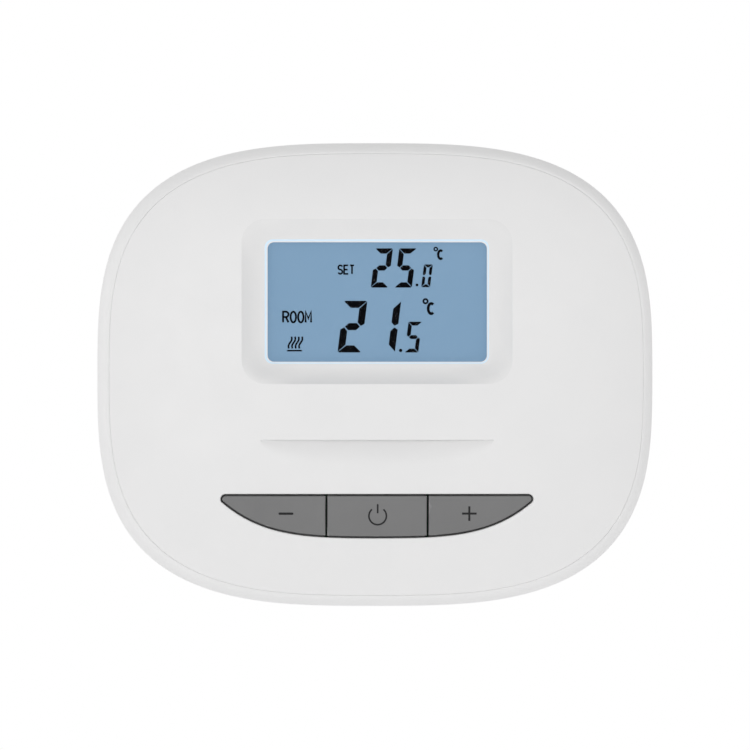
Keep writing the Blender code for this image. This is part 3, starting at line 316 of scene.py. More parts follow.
def add_profile(shape, side, centre_x, half):
    """A slab along X, from its side view as (y, z) points."""
    add_rings(shape, [[(centre_x + way * half, y, z) for y, z in side] for way in (-1, 1)])


# Outlines in plan, as arrays of (x, z).


def oval(half_x, half_z):
    """The case's outline, a superellipse."""
    turn = 2 * np.pi * np.arange(RING_POINTS) / RING_POINTS
    cos = np.cos(turn)
    sin = np.sin(turn)
    reach = (np.abs(cos / half_x) ** OUTLINE_POWER + np.abs(sin / half_z) ** OUTLINE_POWER) ** (
        -1 / OUTLINE_POWER
    )
    return np.stack([reach * cos, reach * sin], axis=1)


def case_outline(inset):
    return oval(HALF_X - inset, HALF_Z - inset)


def rounded_rectangle(half_x, half_z, radius, centre=(0.0, 0.0), corner=10, side=24):
    """A rectangle with round corners, with points along its sides as well."""
    points = []
    for quarter in range(4):
        side_x = 1 if quarter in (0, 3) else -1
        side_z = 1 if quarter in (0, 1) else -1
        middle_x = centre[0] + side_x * (half_x - radius)
        middle_z = centre[1] + side_z * (half_z - radius)
        for i in range(corner + 1):
            turn = math.pi / 2 * (quarter + i / corner)
            points.append((middle_x + radius * math.cos(turn), middle_z + radius * math.sin(turn)))
        last = points[-1]
        if quarter in (0, 2):
            end = (centre[0] - side_x * (half_x - radius), last[1])
        else:
            end = (last[0], centre[1] - side_z * (half_z - radius))
        for i in range(1, side):
            share = i / side
            points.append((last[0] + (end[0] - last[0]) * share, last[1] + (end[1] - last[1]) * share))
    return np.array(points)


def key_bottom(x, grow):
    share = abs(x) / KEY_HALF
    rise = KEY_HEIGHT * (KEY_BOW[0] * share**2 + KEY_BOW[1] * share**4)
    slope = KEY_HEIGHT * (2 * KEY_BOW[0] * share + 4 * KEY_BOW[1] * share**3) / KEY_HALF
    return KEY_TOP - KEY_HEIGHT + rise - grow * math.hypot(1.0, slope)


def key_outline(low_x, high_x, grow, steps=72):
    """Outline of the key row between two X values, grown outwards at its own edges."""
    reach = KEY_TIP + grow
    tip_x = KEY_HALF - KEY_TIP
    tip_z = KEY_TOP - KEY_TIP
    end_x = tip_x + reach * math.cos(KEY_TIP_TURN)
    first = max(low_x, -end_x)
    last = min(high_x, end_x)
    points = []
    for i in range(steps + 1):
        x = first + (last - first) * i / steps
        points.append((x, key_bottom(x, grow)))
    turns = [math.radians(-30 + 120 * i / 12) for i in range(13)]
    right = [(tip_x + reach * math.cos(turn), tip_z + reach * math.sin(turn)) for turn in turns]
    left = [(-tip_x - reach * math.cos(turn), tip_z + reach * math.sin(turn)) for turn in reversed(turns)]
    top_right = right if high_x > end_x else [(high_x, KEY_TOP + grow)]
    top_left = left if low_x < -end_x else [(low_x, KEY_TOP + grow)]
    if high_x <= end_x:
        points += [(high_x, points[-1][1] + (KEY_TOP + grow - points[-1][1]) * i / 8) for i in range(1, 8)]
    points += top_right
    start = top_right[-1][0]
    end = top_left[0][0]
    points += [(start + (end - start) * i / steps, KEY_TOP + grow) for i in range(1, steps)]
    points += top_left
    if low_x >= -end_x:
        foot = points[0][1]
        points += [(low_x, KEY_TOP + grow + (foot - KEY_TOP - grow) * i / 8) for i in range(1, 8)]
    return np.array(points)


def row_outline(grow):
    """Outline of the whole key row."""
    return key_outline(-PAST_ENDS, PAST_ENDS, grow)


def inside(points, outline):
    """Which points lie inside a closed outline."""
    x, z = points[:, 0:1], points[:, 1:2]
    ax, az = outline[:, 0], outline[:, 1]
    bx, bz = np.roll(ax, -1), np.roll(az, -1)
    crosses = (az > z) != (bz > z)
    run = np.where(bz == az, 1.0, bz - az)
    at = ax + (z - az) * (bx - ax) / run
    return (np.sum(crosses & (x < at), axis=1) % 2) == 1


# The cover's face as a height field.


def smooth_step(low, high, value):
    share = np.clip((value - low) / (high - low), 0.0, 1.0)
    return share * share * (3 - 2 * share)


def dome(x, z):
    share = (np.abs(x / DOME_HALF_X) ** OUTLINE_POWER + np.abs(z / DOME_HALF_Z) ** OUTLINE_POWER) ** (
        1 / OUTLINE_POWER
    )
    return APEX - (APEX - DOME_EDGE) * share**4


def dish_size(share):
    """Half width, half height and corner radius of the dish, this share of the way in to the window."""
    half_x = DISH_HALF_X + (WINDOW_HALF_X - DISH_HALF_X) * share
    half_z = DISH_HALF_Z + (WINDOW_HALF_Z - DISH_HALF_Z) * share
    return half_x, half_z, DISH_RADIUS + (WINDOW_RADIUS - DISH_RADIUS) * share


def dish_share(x, z):
    """How far in a point is from the dish's outer edge, 0, to the window's, 1."""
    low = np.zeros_like(x)
    high = np.ones_like(x)
    for _ in range(26):
        share = (low + high) / 2
        half_x, half_z, radius = dish_size(share)
        over_x = np.abs(x) - half_x + radius
        over_z = np.abs(z - WINDOW_Z) - half_z + radius
        outside = np.hypot(np.maximum(over_x, 0), np.maximum(over_z, 0))
        gap = outside + np.minimum(np.maximum(over_x, over_z), 0) - radius
        low = np.where(gap < 0, share, low)
        high = np.where(gap < 0, high, share)
    return (low + high) / 2


def dish_fall(x, z):
    """Share of the way from the dome down to the window's floor.

    It is a scoop along each side, and soft in the corners.
    """
    share = dish_share(x, z)
    half_x, half_z, _ = dish_size(share)
    corner = np.minimum(np.abs(x) / half_x, np.abs(z - WINDOW_Z) / half_z)
    side = 1 - smooth_step(0.55, 0.93, corner)
    scooped = 1 - (1 - share) ** DISH_POWER
    soft = smooth_step(0.0, 1.0, share)
    return np.where(share < 1e-6, 0.0, side * scooped + (1 - side) * soft)


def notch_fall(x, z):
    """Depth of the thumb notch: a step at its top edge, then a ramp back up to the face."""
    reach = np.sqrt(np.maximum(1 - (x / NOTCH_HALF) ** 2, 0.0))
    below = (NOTCH_Z - z) / np.maximum(NOTCH_LENGTH * reach, 1e-6)
    ramp = np.where(below < 1, (1 - np.clip(below, 0, 1)) ** NOTCH_POWER, 0.0)
    step = 1 - np.clip((z - NOTCH_Z) / NOTCH_STEP, 0, 1)
    return NOTCH_DEPTH * reach * np.where(z > NOTCH_Z, step, ramp)


def face(x, z):
    """Depth of the finished face."""
    base = dome(x, z)
    fall = dish_fall(x, z)
    return base + (WINDOW_FLOOR - base) * fall - notch_fall(x, z)


def key_face(x, z):
    return dome(x, z) + KEY_PROUD


def flat_at(depth):
    """A height field that is flat."""
    return lambda x, z: np.full_like(x, depth)


def slope_normal(depth, x, z, reach=0.004):
    """Outward normals of a height field."""
    across = (depth(x + reach, z) - depth(x - reach, z)) / (2 * reach)
    up = (depth(x, z + reach) - depth(x, z - reach)) / (2 * reach)
    normal = np.stack([-across, -np.ones_like(x), -up], axis=1)
    return normal / np.linalg.norm(normal, axis=1, keepdims=True)


def grid_points(loops, lines, spacing):
    """Points on an even grid that keep off the outlines and lines."""
    outer = loops[0]
    low = outer.min(axis=0)
    high = outer.max(axis=0)
    rows = np.arange(low[1] + spacing / 2, high[1], spacing * math.sqrt(3) / 2)
    points = []
    for number, z in enumerate(rows):
        start = low[0] + spacing / 2 * (1 + number % 2)
        points += [(x, z) for x in np.arange(start, high[0], spacing)]
    points = np.array(points)
    keep = inside(points, outer)
    for hole in loops[1:]:
        keep &= ~inside(points, hole)
    points = points[keep]
    fixed = np.concatenate([*loops, *lines])
    nearest = np.full(len(points), 1e9)
    for start in range(0, len(fixed), 200):
        gaps = points[:, None, :] - fixed[None, start : start + 200, :]
        nearest = np.minimum(nearest, np.hypot(gaps[..., 0], gaps[..., 1]).min(axis=1))
    return points[nearest > spacing * 0.45]


def plan_mesh(loops, lines, spacing):
    """Triangles over the region inside the first outline and outside the others.

    Gives the points, the triangles, and for each outline the numbers of its points.
    """
    points = []
    edges = []
    spans = []
    for number, loop in enumerate([*loops, *lines]):
        first = len(points)
        points += [tuple(point) for point in loop]
        count = len(loop)
        closed = number < len(loops)
        edges += [(first + i, first + (i + 1) % count) for i in range(count if closed else count - 1)]
        spans.append((first, count))
    points += [tuple(point) for point in grid_points(loops, lines, spacing)]
    found, _, triangles, origins, _, _ = delaunay_2d_cdt([Vector(p) for p in points], edges, [], 0, 1e-6)
    place = {origin: number for number, group in enumerate(origins) for origin in group}
    flat = np.array([tuple(point) for point in found])
    triangles = np.array(triangles)
    middle = flat[triangles].mean(axis=1)
    keep = inside(middle, loops[0])
    for hole in loops[1:]:
        keep &= ~inside(middle, hole)
    rings = [[place[first + i] for i in range(count)] for first, count in spans[: len(loops)]]
    return flat, triangles[keep], rings


class Skin:
    """Points and faces of a closed solid that is put together from sheets and bands."""

    def __init__(self):
        self.points = []
        self.faces = []
        self.marks = []

    def add(self, points):
        first = len(self.points)
        self.points += [tuple(point) for point in points]
        return list(range(first, len(self.points)))

    def sheet(self, loops, lines, spacing, depth):
        """A height field over a region. Gives the numbers of each outline's points."""
        flat, triangles, rings = plan_mesh(loops, lines, spacing)
        used = np.unique(triangles)
        heights = depth(flat[:, 0], flat[:, 1])
        first = self.add([(x, -y, z) for (x, z), y in zip(flat[used], heights[used])])[0]
        number = {old: first + new for new, old in enumerate(used)}
        self.faces += [tuple(number[corner] for corner in triangle) for triangle in triangles]
        self.marks += [0] * len(triangles)
        return [[number[corner] for corner in ring] for ring in rings]

    def band(self, ring, outline, depth, mark=0):
        """A strip of faces from a ring of points to an outline at a depth. Gives the new ring."""
        depths = np.broadcast_to(depth, len(outline))
        new = self.add([(x, -y, z) for (x, z), y in zip(outline, depths)])
        self.close(ring, new, mark)
        return new

    def close(self, ring, other, mark=0):
        count = len(ring)
        for i in range(count):
            j = (i + 1) % count
            self.faces.append((ring[i], ring[j], other[j], other[i]))
            self.marks.append(mark)

    def hoop(self, rings):
        """Faces from each ring to the next, and from the last to the first."""
        for one, other in zip(rings, [*rings[1:], rings[0]]):
            self.close(one, other)

    def rounded(self, ring, radius, depth, outline_at):
        """A quarter round down from a face. outline_at gives the outline this far from its outermost."""
        for i in range(1, 6):
            turn = math.pi / 2 * i / 5
            outline = outline_at(radius * (1 - math.sin(turn)))
            ring = self.band(ring, outline, depth - radius * (1 - math.cos(turn)))
        return ring

    def cap(self, ring):
        self.faces.append(tuple(ring))
        self.marks.append(0)


def shaded_as(thing, count, depth):
    """Gives the first faces of a piece the exact normals of their height field."""
    mesh = thing.data
    corners = np.zeros(len(mesh.loops), np.int32)
    mesh.loops.foreach_get("vertex_index", corners)
    places = np.zeros(len(mesh.vertices) * 3)
    mesh.vertices.foreach_get("co", places)
    places = places.reshape(-1, 3) / MM
    starts = np.zeros(len(mesh.polygons), np.int32)
    mesh.polygons.foreach_get("loop_start", starts)
    end = starts[count] if count < len(starts) else len(corners)
    triangles = corners[:end].reshape(-1, 3)
    points = places[triangles]
    middle = points.mean(axis=1, keepdims=True)
    toward = (points + (middle - points) * 0.06).reshape(-1, 3)
    normals = np.zeros((len(corners), 3))
    normals[:end] = slope_normal(depth, toward[:, 0], toward[:, 2])
    mesh.normals_split_custom_set([tuple(normal) for normal in normals])


# Shader node groups.


def node_group(name, inputs, outputs):
    tree = bpy.data.node_groups.new(name, "ShaderNodeTree")
    for label, kind, value in inputs:
        socket = tree.interface.new_socket(label, in_out="INPUT", socket_type=kind)
        socket.default_value = value
    for label, kind in outputs:
        tree.interface.new_socket(label, in_out="OUTPUT", socket_type=kind)
    return tree, tree.nodes.new("NodeGroupInput"), tree.nodes.new("NodeGroupOutput")


def noise_on(tree, scale, detail, stretch=None):
    """A noise texture on object coordinates, perhaps stretched."""
    place = tree.nodes.new("ShaderNodeTexCoord").outputs["Object"]
    if stretch is not None:
        mapping = tree.nodes.new("ShaderNodeMapping")
        mapping.inputs["Scale"].default_value = stretch
        tree.links.new(place, mapping.inputs["Vector"])
        place = mapping.outputs["Vector"]
    noise = tree.nodes.new("ShaderNodeTexNoise")
    noise.inputs["Detail"].default_value = detail
    tree.links.new(place, noise.inputs["Vector"])
    if isinstance(scale, float):
        noise.inputs["Scale"].default_value = scale
    else:
        tree.links.new(scale, noise.inputs["Scale"])
    return noise.outputs["Fac"]


def remapped(tree, value, low, high, to_low, to_high):
    """A value taken from one range to another; each bound is a number or a socket."""
    node = tree.nodes.new("ShaderNodeMapRange")
    tree.links.new(value, node.inputs["Value"])
    for label, bound in (("From Min", low), ("From Max", high), ("To Min", to_low), ("To Max", to_high)):
        if isinstance(bound, float):
            node.inputs[label].default_value = bound
        else:
            tree.links.new(bound, node.inputs[label])
    return node.outputs["Result"]


def product(tree, one, other):
    node = tree.nodes.new("ShaderNodeMath")
    node.operation = "MULTIPLY"
    for socket, value in zip(node.inputs, (one, other)):
        if isinstance(value, float):
            socket.default_value = value
        else:
            tree.links.new(value, socket)
    return node.outputs["Value"]


def blended(tree, share, one, other):
    """A mix of two colours; each is a colour or a socket."""
    node = tree.nodes.new("ShaderNodeMix")
    node.data_type = "RGBA"
    colours = [socket for socket in node.inputs if socket.type == "RGBA"]
    tree.links.new(share, node.inputs["Factor"])
    for socket, value in zip(colours, (one, other)):
        if isinstance(value, tuple):
            socket.default_value = (*value, 1.0)
        else:
            tree.links.new(value, socket)
    return [socket for socket in node.outputs if socket.type == "RGBA"][0]


def make_tone_group():
    """Slow changes of colour between two tones, as in any moulded or plated surface."""
    inputs = [
        ("Light", "NodeSocketColor", (0.8, 0.8, 0.8, 1.0)),
        ("Dark", "NodeSocketColor", (0.7, 0.7, 0.7, 1.0)),
        ("Scale", "NodeSocketFloat", 90.0),
    ]
    tree, start, end = node_group("uneven_tone", inputs, [("Colour", "NodeSocketColor")])
    share = remapped(tree, noise_on(tree, start.outputs["Scale"], 3.0), 0.35, 0.65, 0.0, 1.0)
    colour = blended(tree, share, start.outputs["Light"], start.outputs["Dark"])
    tree.links.new(colour, end.inputs["Colour"])
    return tree


def make_grain_group():
    """The fine texture that a spark eroded mould leaves, as roughness and as height."""
    inputs = [
        ("Scale", "NodeSocketFloat", 2600.0),
        ("Low", "NodeSocketFloat", 0.4),
        ("High", "NodeSocketFloat", 0.5),
    ]
    outputs = [("Roughness", "NodeSocketFloat"), ("Height", "NodeSocketFloat")]
    tree, start, end = node_group("moulded_grain", inputs, outputs)
    cloud = noise_on(tree, 240.0, 4.0)
    roughness = remapped(tree, cloud, 0.3, 0.7, start.outputs["Low"], start.outputs["High"])
    tree.links.new(roughness, end.inputs["Roughness"])
    tree.links.new(noise_on(tree, start.outputs["Scale"], 2.0), end.inputs["Height"])
    return tree


def make_brushed_group():
    """Fine lines along one direction, as on rolled or drawn metal."""
    inputs = [("Low", "NodeSocketFloat", 0.2), ("High", "NodeSocketFloat", 0.4)]
    outputs = [("Roughness", "NodeSocketFloat"), ("Height", "NodeSocketFloat")]
    tree, start, end = node_group("drawn_lines", inputs, outputs)
    lines = noise_on(tree, 1.0, 3.0, (300.0, 6000.0, 6000.0))
    roughness = remapped(tree, lines, 0.3, 0.7, start.outputs["Low"], start.outputs["High"])
    tree.links.new(roughness, end.inputs["Roughness"])
    tree.links.new(lines, end.inputs["Height"])
    return tree


def make_wear_and_highlight_group():
    """Outer edges that handling has rubbed, broken up by noise. A light edge colour through this mask is
    also a painted highlight, as on the keys.
    """
    inputs = [("Start", "NodeSocketFloat", 0.53), ("End", "NodeSocketFloat", 0.62)]
    tree, start, end = node_group("edge_wear_and_painted_highlight", inputs, [("Mask", "NodeSocketFloat")])
    pointed = tree.nodes.new("ShaderNodeNewGeometry").outputs["Pointiness"]
    edge = remapped(tree, pointed, start.outputs["Start"], start.outputs["End"], 0.0, 1.0)
    broken = remapped(tree, noise_on(tree, 700.0, 4.0), 0.4, 0.65, 0.15, 1.0)
    tree.links.new(product(tree, edge, broken), end.inputs["Mask"])
    return tree


def make_dust_group():
    """Dust that settles on faces that look up."""
    inputs = [("Amount", "NodeSocketFloat", 0.1)]
    tree, start, end = node_group("settled_dust", inputs, [("Mask", "NodeSocketFloat")])
    split = tree.nodes.new("ShaderNodeSeparateXYZ")
    tree.links.new(tree.nodes.new("ShaderNodeNewGeometry").outputs["Normal"], split.inputs["Vector"])
    upward = remapped(tree, split.outputs["Z"], 0.45, 1.0, 0.0, 1.0)
    patches = remapped(tree, noise_on(tree, 420.0, 5.0), 0.35, 0.7, 0.2, 1.0)
    mask = product(tree, product(tree, upward, patches), start.outputs["Amount"])
    tree.links.new(mask, end.inputs["Mask"])
    return tree


TONE = make_tone_group()
GRAIN = make_grain_group()
BRUSHED = make_brushed_group()
WEAR_AND_HIGHLIGHT = make_wear_and_highlight_group()
DUST = make_dust_group()
DUST_COLOUR = (0.50, 0.49, 0.46)


def placed_group(tree, group, **values):
    node = tree.nodes.new("ShaderNodeGroup")
    node.node_tree = group
    for label, value in values.items():
        node.inputs[label].default_value = (*value, 1.0) if isinstance(value, tuple) else value
    return node


def finish(
    name,
    light,
    dark,
    rough,
    tone_scale=90.0,
    grain=2600.0,
    height=0.00002,
    worn_and_highlight=None,
    dust=0.0,
    metal=0.0,
    drawn=False,
    **constants,
):
    """A material with uneven tone, grain in its gloss and relief, rubbed edges (which on the keys also paint
    a highlight) and dust.
    """
    made = bpy.data.materials.new(name)
    made.use_nodes = True
    tree = made.node_tree
    shader = tree.nodes["Principled BSDF"]
    colour = placed_group(tree, TONE, Light=light, Dark=dark, Scale=tone_scale).outputs["Colour"]
    if worn_and_highlight is not None:
        mask = placed_group(tree, WEAR_AND_HIGHLIGHT).outputs["Mask"]
        colour = blended(tree, mask, colour, worn_and_highlight)
    if dust > 0:
        mask = placed_group(tree, DUST, Amount=dust).outputs["Mask"]
        colour = blended(tree, mask, colour, DUST_COLOUR)
    tree.links.new(colour, shader.inputs["Base Color"])
    if drawn:
        texture = placed_group(tree, BRUSHED, Low=rough[0], High=rough[1])
    else:
        texture = placed_group(tree, GRAIN, Scale=grain, Low=rough[0], High=rough[1])
    tree.links.new(texture.outputs["Roughness"], shader.inputs["Roughness"])
    bump = tree.nodes.new("ShaderNodeBump")
    bump.inputs["Distance"].default_value = height
    bump.inputs["Strength"].default_value = 0.5
    tree.links.new(texture.outputs["Height"], bump.inputs["Height"])
    tree.links.new(bump.outputs["Normal"], shader.inputs["Normal"])
    shader.inputs["Metallic"].default_value = metal
    for label, value in constants.items():
        shader.inputs[label.replace("_", " ")].default_value = value
    made.diffuse_color = (*light, 1.0)
    return made


def glowing(made, colour, strength):
    shader = made.node_tree.nodes["Principled BSDF"]
    shader.inputs["Emission Color"].default_value = (*colour, 1.0)
    shader.inputs["Emission Strength"].default_value = strength
    return made


SHELL = finish("white_shell", (0.849, 0.846, 0.846), (0.839, 0.837, 0.838), (0.34, 0.46), dust=0.05)
# Painted shade: a darker, slightly rougher copy of the shell, laid on the dish round the window so that the
# recess looks shaded.
DISH_PAINTED_SHADE_SHELL = finish(
    "white_shell_painted_dish_shade", (0.817, 0.815, 0.815), (0.807, 0.806, 0.807), (0.42, 0.52), dust=0.05
)
MOULDING = finish("white_moulding", (0.80, 0.80, 0.79), (0.77, 0.775, 0.77), (0.45, 0.6), dust=0.08)
# The keys' light edge colour is wear, and also a painted highlight along their edges.
KEY_GREY = finish(
    "grey_key", (0.183, 0.183, 0.184), (0.175, 0.175, 0.176), (0.4, 0.52), worn_and_highlight=(0.38, 0.38, 0.38)
)
ICON_INK = finish(
    "icon_ink", (0.02, 0.02, 0.021), (0.014, 0.014, 0.015), (0.5, 0.65), Specular_IOR_Level=0.2
)
CLEAR = ((0.05, 0.06, 0.07), (0.04, 0.05, 0.06))
LENS_CLEAR = finish("clear_window", *CLEAR, (0.03, 0.07), height=0.0, Alpha=0.012)
GLASS_CLEAR = finish("clear_glass", *CLEAR, (0.02, 0.05), height=0.0, Alpha=0.006)
PANEL = finish(
    "display_panel",
    (0.085, 0.145, 0.21),
    (0.08, 0.14, 0.205),
    (0.40, 0.46),
    60.0,
    height=0.0,
    Specular_IOR_Level=0.2,
)
PANEL_BLUE = glowing(PANEL, (0.212, 0.352, 0.515), 0.625)
SEGMENT_INK = finish(
    "segment_ink",
    (0.002, 0.002, 0.003),
    (0.001, 0.001, 0.002),
    (0.5, 0.6),
    height=0.0,
    Specular_IOR_Level=0.02,
)
# Painted glow: the chamfer of the white cover round the window is given emission, standing in for backlight
# spill and a highlight along that edge.
LIT_EDGE = glowing(
    finish("lit_edge", (0.55, 0.68, 0.8), (0.53, 0.66, 0.79), (0.25, 0.35)), (0.68, 0.86, 1.0), 0.25
)
FILM = finish("display_film", (0.55, 0.65, 0.75), (0.5, 0.62, 0.73), (0.15, 0.25))
GUIDE = glowing(
    finish("light_guide", (0.8, 0.88, 0.95), (0.76, 0.86, 0.94), (0.2, 0.35)), (0.5, 0.7, 1.0), 0.15
)
FOIL = finish("reflector_foil", (0.9, 0.9, 0.9), (0.82, 0.82, 0.83), (0.12, 0.3), metal=1.0, drawn=True)
RUBBER = finish("contact_rubber", (0.10, 0.09, 0.10), (0.03, 0.03, 0.035), (0.7, 0.85), tone_scale=3000.0)
BOARD = finish("board_green", (0.02, 0.17, 0.07), (0.012, 0.12, 0.05), (0.28, 0.4), tone_scale=260.0)
COPPER = finish("tinned_copper", (0.75, 0.73, 0.68), (0.62, 0.58, 0.5), (0.25, 0.45), metal=1.0)
TRACK = finish("covered_track", (0.03, 0.26, 0.11), (0.025, 0.22, 0.09), (0.3, 0.42))
EPOXY = finish(
    "black_epoxy", (0.028, 0.028, 0.03), (0.02, 0.02, 0.021), (0.45, 0.62), worn_and_highlight=(0.08, 0.08, 0.08)
)
RELAY_BLUE = finish(
    "relay_blue", (0.03, 0.13, 0.42), (0.025, 0.11, 0.37), (0.3, 0.42), worn_and_highlight=(0.10, 0.22, 0.5)
)
TERMINAL = finish(
    "terminal_green", (0.03, 0.30, 0.12), (0.025, 0.26, 0.10), (0.4, 0.55), worn_and_highlight=(0.1, 0.4, 0.2)
)
SLEEVE = finish("capacitor_sleeve", (0.05, 0.055, 0.07), (0.04, 0.045, 0.06), (0.25, 0.35))
STEEL = finish("screw_steel", (0.62, 0.62, 0.62), (0.5, 0.5, 0.51), (0.25, 0.42), metal=1.0, drawn=True)
NICKEL = finish("nickel_plate", (0.72, 0.70, 0.66), (0.63, 0.6, 0.55), (0.2, 0.35), metal=1.0, drawn=True)
WRAP = finish("battery_wrap", (0.10, 0.30, 0.17), (0.085, 0.27, 0.15), (0.22, 0.32), Coat_Weight=0.4)


# Repeats.


def make_row_tree():
    """Copies of one object at even steps from a start, for slots, legs, stripes and pins."""
    tree = bpy.data.node_groups.new("row_of_copies", "GeometryNodeTree")
    sockets = (
        ("Geometry", "NodeSocketGeometry"),
        ("Piece", "NodeSocketObject"),
        ("Count", "NodeSocketInt"),
        ("Start", "NodeSocketVector"),
        ("Step", "NodeSocketVector"),
        ("Material", "NodeSocketMaterial"),
    )
    for label, kind in sockets:
        tree.interface.new_socket(label, in_out="INPUT", socket_type=kind)
    tree.interface.new_socket("Geometry", in_out="OUTPUT", socket_type="NodeSocketGeometry")
    start = tree.nodes.new("NodeGroupInput")
    end = tree.nodes.new("NodeGroupOutput")
    line = tree.nodes.new("GeometryNodeMeshLine")
    source = tree.nodes.new("GeometryNodeObjectInfo")
    copies = tree.nodes.new("GeometryNodeInstanceOnPoints")
    real = tree.nodes.new("GeometryNodeRealizeInstances")
    coloured = tree.nodes.new("GeometryNodeSetMaterial")
    tree.links.new(start.outputs["Count"], line.inputs["Count"])
    tree.links.new(start.outputs["Start"], line.inputs["Start Location"])
    tree.links.new(start.outputs["Step"], line.inputs["Offset"])
    tree.links.new(start.outputs["Piece"], source.inputs["Object"])
    tree.links.new(line.outputs["Mesh"], copies.inputs["Points"])
    tree.links.new(source.outputs["Geometry"], copies.inputs["Instance"])
    tree.links.new(copies.outputs["Instances"], real.inputs["Geometry"])
    tree.links.new(real.outputs["Geometry"], coloured.inputs["Geometry"])
    tree.links.new(start.outputs["Material"], coloured.inputs["Material"])
    tree.links.new(coloured.outputs["Geometry"], end.inputs["Geometry"])
    return tree


ROW = make_row_tree()


def row(name, source, count, start, step, surface):
    """A plain mesh of copies of the source, which is removed. Start and step are in millimetres."""
    holder = linked(name, bpy.data.meshes.new(name))
    modifier = holder.modifiers.new("row", "NODES")
    modifier.node_group = ROW
    names = {item.name: item.identifier for item in ROW.interface.items_tree if item.in_out == "INPUT"}
    modifier[names["Piece"]] = source
    modifier[names["Count"]] = count
    modifier[names["Start"]] = [value * MM for value in start]
    modifier[names["Step"]] = [value * MM for value in step]
    modifier[names["Material"]] = surface
    baked(holder)
    bpy.data.objects.remove(source)
    return holder


# Front cover.


def circle(place, radius, count=32):
    turn = 2 * np.pi * np.arange(count) / count
    return np.stack([place[0] + radius * np.cos(turn), place[1] + radius * np.sin(turn)], axis=1)


def add_post(skin, place, radius, bore, near, far, bore_far):
    """A round post with a blind bore in its back end."""
    rim = skin.add([(x, -near, z) for x, z in circle(place, bore)])
    foot = skin.band(rim, circle(place, bore), bore_far)
    skin.cap(foot)
    ring = skin.band(rim, circle(place, radius - 0.2), near)
    ring = skin.band(ring, circle(place, radius), near + 0.2)
    skin.cap(skin.band(ring, circle(place, radius), far))


def closed(outline):
    return np.concatenate([outline, outline[:1]])


def inner_face(x, z):
    """Depth of the inside of the cover's wall, with thicker pads round the window and the keys."""
    depth = dome(x, z) - COVER_WALL
    places = np.stack([x, z], axis=1)
    pad = (np.abs(x) < PAD_HALF_X) & (np.abs(z - WINDOW_Z) < PAD_HALF_Z)
    depth = np.where(pad, LENS_BACK - 0.5, depth)
    return np.where(inside(places, row_outline(2.05)), KEY_WALL_BACK, depth)


CASE_SCREW_PLACES = [(side * (HALF_X - 16.0), up * (HALF_Z - 30.0)) for up in (1, -1) for side in (-1, 1)]
POST_LEVELS = (board_high.z - 4.0, KEY_TOP + 6.4)
POST_PLACES = [(side * (board_high.x - 3.5), z) for z in POST_LEVELS for side in (-1, 1)]


